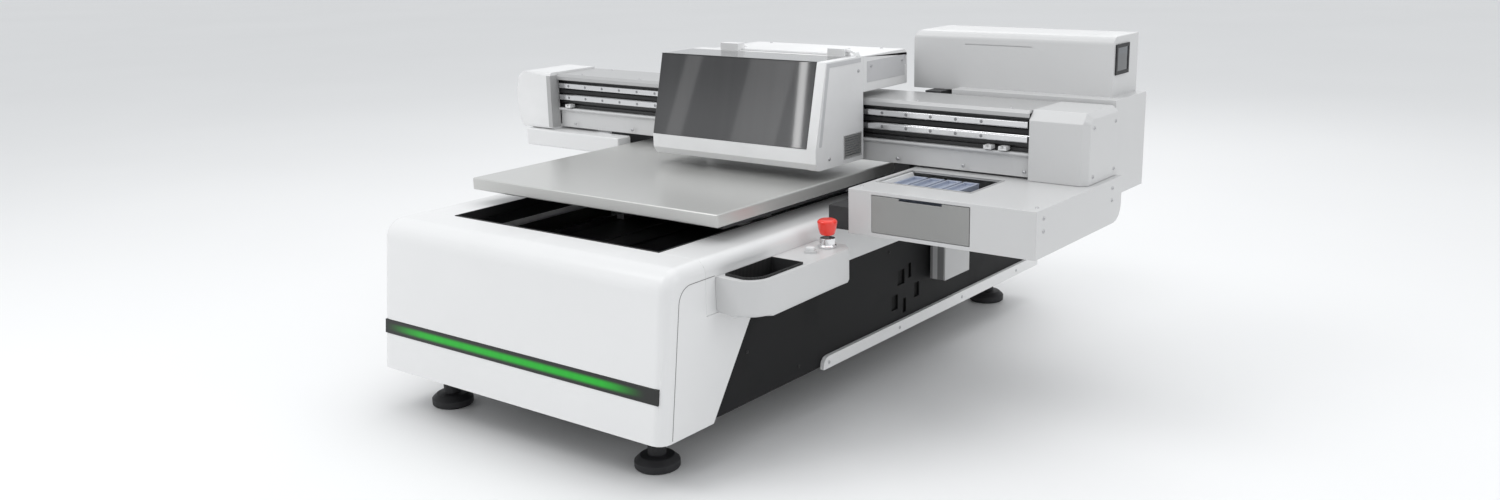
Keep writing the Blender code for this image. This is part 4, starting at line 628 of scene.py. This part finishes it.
for place in ("upper", "lower"):
    low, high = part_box("x_rail_" + place)
    deep, tall = high.y - low.y, high.z - low.z
    section = [
        (0, 0.12), (0, 0.88), (0.12, 1), (0.40, 1), (0.55, 0.86), (0.75, 0.86), (0.84, 1), (1, 1),
        (1, 0), (0.84, 0), (0.75, 0.14), (0.55, 0.14), (0.40, 0), (0.12, 0),
    ]
    outline = [(low.y + deep * a, low.z + tall * b) for a, b in section]
    rail = round_off(plate(outline, "X", low.x, high.x), 0.0004, 2, 20)
    rail.name = "rail_" + place
    dress(rail, "base", rail_steel)
    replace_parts(rail, "x_rail_" + place)
    middle = (low.z + high.z) / 2
    count = int((high.x - low.x - bolt_start) / bolt_pitch)
    start = low.x + bolt_start + 0.005
    caps += [((start + bolt_pitch * i, low.y, middle), (0, -1, 0)) for i in range(count)]
fasten("x_rail_bolt_caps", bolt_cap, caps, "base", cap_steel)
bpy.data.objects.remove(bolt_cap)
low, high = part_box("x_rail_lower")
white_plastic = moulded("white_plastic", (0.77, 0.77, 0.77), 0.36, coat=0.2)
sensor = block((-0.009, -0.012, 0.0), (0.009, 0.007, 0.0085))
sensor_drop = 0.0187
carve(sensor, block((-0.0035, -0.004, 0.0035), (0.0035, 0.02, 0.02)))
round_off(sensor, 0.0008)
spots = [((x, low.y + 0.0002, low.z - sensor_drop), (0, 0, 1)) for x in (0.612, 0.578, -0.640)]
fasten("end_sensors", sensor, spots, "base", white_plastic)
bpy.data.objects.remove(sensor)
low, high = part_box("beam_top_cover")
top_screws = [((x, low.y + 0.018, high.z), (0, 0, 1)) for x in (-0.60, -0.40, 0.40, 0.62)]
top_screws += [((x, high.y - 0.018, high.z), (0, 0, 1)) for x in (-0.60, -0.40)]
fasten("beam_screws", screw, top_screws, "base", steel_screw)
low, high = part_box("beam_lower_plate")
plate_screws = [((x, low.y, low.z + 0.012), (0, -1, 0)) for x in (-0.62, -0.42, 0.36, 0.52, 0.66)]
fasten("plate_screws", screw, plate_screws, "base", steel_screw)

# ---------------------------------------------------------------- left end of the beam
# A blow-moulded white cap closes the beam's left end and a folded white tray hides its bracket;
# a thin grey block on the cap's inner side beside the rails is painted shade on that white face.
soften("left_end_cap", 0.002, white_plastic, 3)
soften("left_lower_cover", 0.0015, white_coat)
low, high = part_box("left_end_cap")
trim_grey_and_painted_shade = moulded("trim_grey_and_painted_shade", (0.42, 0.42, 0.42), 0.5)
# This grey block is painted shade: it stands for the cap's white inner side where that side lies in shade.
cap_side_shade_block = block(
    (high.x - 0.013, low.y - 0.0008, low.z + 0.006), (high.x + 0.0015, low.y + 0.0305, high.z - 0.008))
finish(cap_side_shade_block, "cap_side_painted_shade", "base", trim_grey_and_painted_shade, 0.0006)

# ---------------------------------------------------------------- maintenance station
# A folded grey housing hangs on the right upright. Through its top opening the blue-grey caps with
# their black lips, a pale spray wedge and the wiper are seen; a plastic flap closes the front.
mid_plastic = moulded("mid_plastic", (0.30, 0.30, 0.293), 0.40)
blue_plastic = moulded("blue_plastic", (0.36, 0.40, 0.50), 0.30, coat=0.4)
soften("station_housing", 0.0018, grey_coat, 3)
soften("maintenance_flap", 0.0009, mid_plastic)
soften("station_base", 0.0008, moulded("station_dark", (0.02, 0.02, 0.022), 0.5))
soften("cap_unit", 0.0009, blue_plastic)
repaint(rubber, "wiper")
low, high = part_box("cap_unit")
pitch = (high.x - low.x) / 4
lip = ring(
    (-pitch / 2 + 0.0042, low.y + 0.0075, high.z - 0.001),
    (pitch / 2 - 0.0042, high.y - 0.0075, high.z + 0.0018), (0.0036, 0.0040, -0.01))
round_off(lip, 0.0006)
spots = [((low.x + pitch * (i + 0.5), 0, 0), (0, 0, 1)) for i in range(4)]
fasten("cap_lips", lip, spots, "caps", rubber)
bpy.data.objects.remove(lip)
top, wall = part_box("station_housing")[1].z, 0.004
frame_trim = ring((0.411, -0.1575, top - 0.0002), (0.631, -0.0145, top + 0.0014), (wall, wall, -0.01))
finish(frame_trim, "station_opening_trim", "base", trim_grey_and_painted_shade, 0.0005)
outline = [(0.4155, 0.470), (0.4268, 0.470), (0.4200, 0.4875), (0.4155, 0.4875)]
wedge = plate(outline, "Y", -0.150, -0.022)
finish(wedge, "station_wedge", "base", white_plastic, 0.0006)
low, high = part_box("station_housing")
corners = [(low.x + 0.014, low.y + 0.030), (low.x + 0.014, high.y - 0.06), (high.x - 0.014, low.y + 0.030)]
spots = [((x, y, high.z), (0, 0, 1)) for x, y in corners]
spots += [((high.x, y, z), (1, 0, 0)) for y in (low.y + 0.03, high.y - 0.05)
          for z in (low.z + 0.05, high.z - 0.018)]
fasten("station_screws", screw, spots, "base", steel_screw)

# ---------------------------------------------------------------- right end housing
# A pressed grey hood over the beam's right end and the carriage motor, with its top edge bent to a
# broad facet. Four screws hold it on from the side.
soften("end_housing", 0.0016, grey_coat, 3)
low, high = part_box("end_housing")
spots = [((high.x, y, z), (1, 0, 0)) for y in (low.y + 0.030, high.y - 0.014)
         for z in (low.z + 0.016, high.z - 0.030)]
fasten("housing_screws", screw, spots, "base", steel_screw)

# ---------------------------------------------------------------- ink and electronics tower
# A tall folded box behind the beam holds the ink; its lid is hinged at the back. A dark touch panel
# is let into the right end, and a slot in the front lets the warm air out.
tower = soften("tower_housing", 0.0024, grey_coat, 3, merge=False)
soften("tower_lid", 0.0012, grey_coat)
repaint(mid_plastic, "ink_tanks")
low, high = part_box("tower_housing")
front_slot = block((0.420, 0.180, 0.7365), (0.580, 0.1997, 0.7385))
carve(tower, front_slot)
slots, slot_pitch, slot_width, slot_depth = [], 0.022, 0.012, 0.0015
for i in range(12):
    left, inside = low.x + 0.05 + slot_pitch * i, high.y - slot_depth
    slots.append(block((left, inside, high.z - 0.085), (left + slot_width, high.y + 0.01, high.z - 0.030)))
carve(tower, *slots)
glass = Paint("touch_glass", Roughness=0.07, Coat_Weight=1.0, Coat_Roughness=0.03, Emission_Strength=1.0)
row, column = glass.along(2), glass.along(1)
panel_low, panel_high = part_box("display_panel")
lit = glass.ramp(row, panel_high.z - 0.022, panel_high.z - 0.012)
lit = lit * glass.ramp(column, panel_low.y + 0.010, panel_low.y + 0.014)
glass.set("Base Color", glass.mix(glass.noise(60, 2), (0.012, 0.013, 0.015), (0.03, 0.032, 0.036)))
glass.set("Emission Color", glass.mix(lit, (0.002, 0.003, 0.004), (0.010, 0.016, 0.022)))
soften("display_panel", 0.0008, glass.material)
proud, margin, wall = 0.0012, 0.004, 0.0075
bezel = ring(
    (panel_high.x - proud, panel_low.y - margin, panel_low.z - margin),
    (panel_high.x + proud, panel_high.y + margin, panel_high.z + margin), (-0.01, wall, wall))
finish(bezel, "display_bezel", "base", trim_black, 0.0006)

# ---------------------------------------------------------------- print carriage
# A white moulded shell round the heads and lamps. Its cheek carries a grey border and a louvred
# vent; an arm cover reaches back over the beam to the lift.
soften("print_heads", 0.0008, mid_plastic)
soften("uv_lamps", 0.001, motor_black)
soften("carriage_shell", 0.002, white_plastic, 3)
soften("carriage_arm_cover", 0.006, white_plastic, 4)
low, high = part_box("carriage_shell")
border_grey = moulded("border_grey", (0.56, 0.56, 0.57), 0.32, coat=0.3)
lean = 0.042 / 0.225
foot = low.y + lean * 0.050
outline = [
    (foot + 0.003, low.z + 0.050), (low.y + 0.045, high.z - 0.003), (high.y - 0.010, high.z - 0.003),
    (high.y - 0.010, high.z - 0.012), (low.y + 0.0535, high.z - 0.012), (foot + 0.0125, low.z + 0.050),
]
border = plate(outline, "X", high.x - 0.001, high.x + 0.0009)
finish(border, "cheek_border", "head", border_grey, 0.0006)
vent = block(
    (high.x - 0.001, high.y - 0.078, low.z + 0.010), (high.x + 0.0012, high.y - 0.008, low.z + 0.062))
pick(vent, lambda centre, normal: normal.x > 0.9)
bpy.ops.mesh.inset(thickness=0.0022)
bpy.ops.mesh.extrude_region_move(TRANSFORM_OT_translate={"value": (-0.0012, 0, 0)})
close_up(vent)
finish(vent, "cheek_vent_frame", "head", trim_grey_and_painted_shade, 0.0004)
louvre = plate([(-0.0325, 0), (0.0325, 0), (0.0325, 0.0016), (-0.0325, 0.0016)], "X", 0, 0.0012)
louvre.data.transform(Matrix.Rotation(math.radians(-28), 4, "Y"))
louvre_foot, louvre_pitch = low.z + 0.0135, 0.0053
bpy.ops.object.select_all(action="DESELECT")
for i in range(9):
    copy = bpy.data.objects.new("cheek_louvres", louvre.data.copy())
    place = (high.x + 0.0002, high.y - 0.043, louvre_foot + louvre_pitch * i)
    copy.data.transform(Matrix.Translation(place))
    bpy.context.scene.collection.objects.link(copy)
    copy.select_set(True)
    bpy.context.view_layer.objects.active = copy
bpy.ops.object.join()
louvres = bpy.context.object
bpy.data.objects.remove(louvre)
finish(louvres, "cheek_louvres", "head", mid_plastic)
spots = [((high.x, high.y - 0.020, high.z - 0.030), (1, 0, 0))]
spots += [((high.x, low.y + 0.050, low.z + 0.020), (1, 0, 0))]
low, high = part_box("carriage_arm_cover")
side_panel = block(
    (high.x - 0.001, low.y + 0.014, low.z + 0.020), (high.x + 0.0008, high.y - 0.012, high.z - 0.013))
finish(side_panel, "arm_side_panel", "head", border_grey, 0.0006)
spots += [((high.x + 0.0008, y, high.z - 0.024), (1, 0, 0)) for y in (low.y + 0.030, high.y - 0.025)]
spots += [((x, y, high.z), (0, 0, 1)) for x in (low.x + 0.05, high.x - 0.05)
          for y in (low.y + 0.05, high.y - 0.03)]
fasten("carriage_screws", screw, spots, "head", steel_screw)

# ---------------------------------------------------------------- visor
# A smoked acrylic screen, heat-bent over into the roof and hinged at its rear edge in two white
# knuckles. It is glossy; its colour carries painted reflection streaks down its face and is painted
# lighter towards its foot, darker towards the fold, as painted light.
smoke = Paint("smoked_acrylic", Coat_Weight=0.8, Coat_Roughness=0.035, Specular_IOR_Level=0.2)
# The vertical streaks and broad bands in the colour are painted reflection; the ramp up the face paints
# the foot lighter as painted light.
painted_reflection_streak = smoke.noise(38, 2, (1, 0.04, 0.04))
broad = smoke.noise(9, 1, (1, 0.05, 0.05))
rise = smoke.ramp(smoke.along(2), 0.715, 0.56)
tone = painted_reflection_streak * 0.2 + broad * 0.3 + rise * 0.5
smoke.set("Base Color", smoke.mix(tone, (0.010, 0.010, 0.011), (0.074, 0.074, 0.076)))
smoke.set("Roughness", 0.13 + painted_reflection_streak * 0.06)
smoke.bump(smoke.noise(40, 1, (1, 0.05, 0.05)), 0.00002)
soften("visor", 0.0014, smoke.material, 3)
soften("visor_hinge", 0.0022, white_plastic, 3)
link = plate([
    (0.2460, 0.7385), (0.2620, 0.7378), (0.2725, 0.7335), (0.2770, 0.7262), (0.2770, 0.7230),
    (0.2722, 0.7230), (0.2685, 0.7290), (0.2600, 0.7325), (0.2460, 0.7335),
], "Y", -0.020, -0.006)
finish(link, "hinge_link", "head", white_plastic, 0.0012)
low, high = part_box("visor")
fold = block(
    (low.x + 0.0006, low.y + 0.0405, high.z - 0.0008), (high.x - 0.0006, low.y + 0.0455, high.z + 0.0005))
finish(fold, "visor_fold_seal", "visor_cover", trim_black, 0.0005)

# ---------------------------------------------------------------- side tray, stop and start buttons
# A moulded grey tray hooks over the cheek. Its bin is lined with ribbed black rubber; behind it the
# red mushroom sits in a chromed collar beside the white start button.
soften("side_tray", 0.0016, grey_coat, 3)
chrome = metal("chrome", (0.80, 0.80, 0.81), 0.10, depth=0.000004, scale=200)
red_plastic = moulded("red_plastic", (0.86, 0.022, 0.006), 0.28, 700, 0.00002, 0.7)
soften("stop_collar", 0.0006, chrome)
soften("stop_head", 0.0016, red_plastic, 3)
soften("start_button", 0.0008, white_plastic)
low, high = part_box("side_tray")
inner_x, outer_x, front_y, back_y = 0.3507, 0.4256, -0.5801, -0.4359
bend_x, bend_y, bend = 0.386, -0.5465, 0.0396
outline = [(inner_x, front_y)]
for step in range(6):
    turn = math.radians(-75 + 15 * step)
    outline.append((bend_x + bend * math.cos(turn), bend_y + bend * math.sin(turn)))
outline += [(outer_x, back_y), (inner_x, back_y)]
floor_z, rim_z, bin_depth = low.z + 0.0173, high.z - 0.0015, 0.0505
mat = plate(outline, "Z", floor_z, rim_z)
pick(mat, lambda centre, normal: normal.z > 0.9)
bpy.ops.mesh.inset(thickness=0.0018)
bpy.ops.mesh.extrude_region_move(TRANSFORM_OT_translate={"value": (0, 0, -bin_depth)})
close_up(mat)
ribbed = Paint("ribbed_rubber", Roughness=0.55)
down_mat = {"wave_type": "BANDS", "bands_direction": "Y"}
ribs = ribbed.node("TexWave", down_mat, {"Vector": ribbed.place, "Scale": 75})
ribbed.set("Base Color", ribbed.mix(ribs, (0.006, 0.006, 0.006), (0.018, 0.018, 0.019)))
ribbed.bump(ribs, 0.0006)
finish(mat, "bin_liner", "base", ribbed.material, 0.0005)

bpy.data.objects.remove(screw)

# ---------------------------------------------------------------- floor
# The studio floor is matt off-white vinyl with a hardly visible mottle, painted once Paint is defined.
floor_paint = Paint("studio_floor", Roughness=0.6)
mottle = floor_paint.noise(0.8, 2)
floor_paint.set("Base Color", floor_paint.mix(mottle, (0.84, 0.84, 0.84), (0.88, 0.88, 0.88)))
floor.data.materials.append(floor_paint.material)
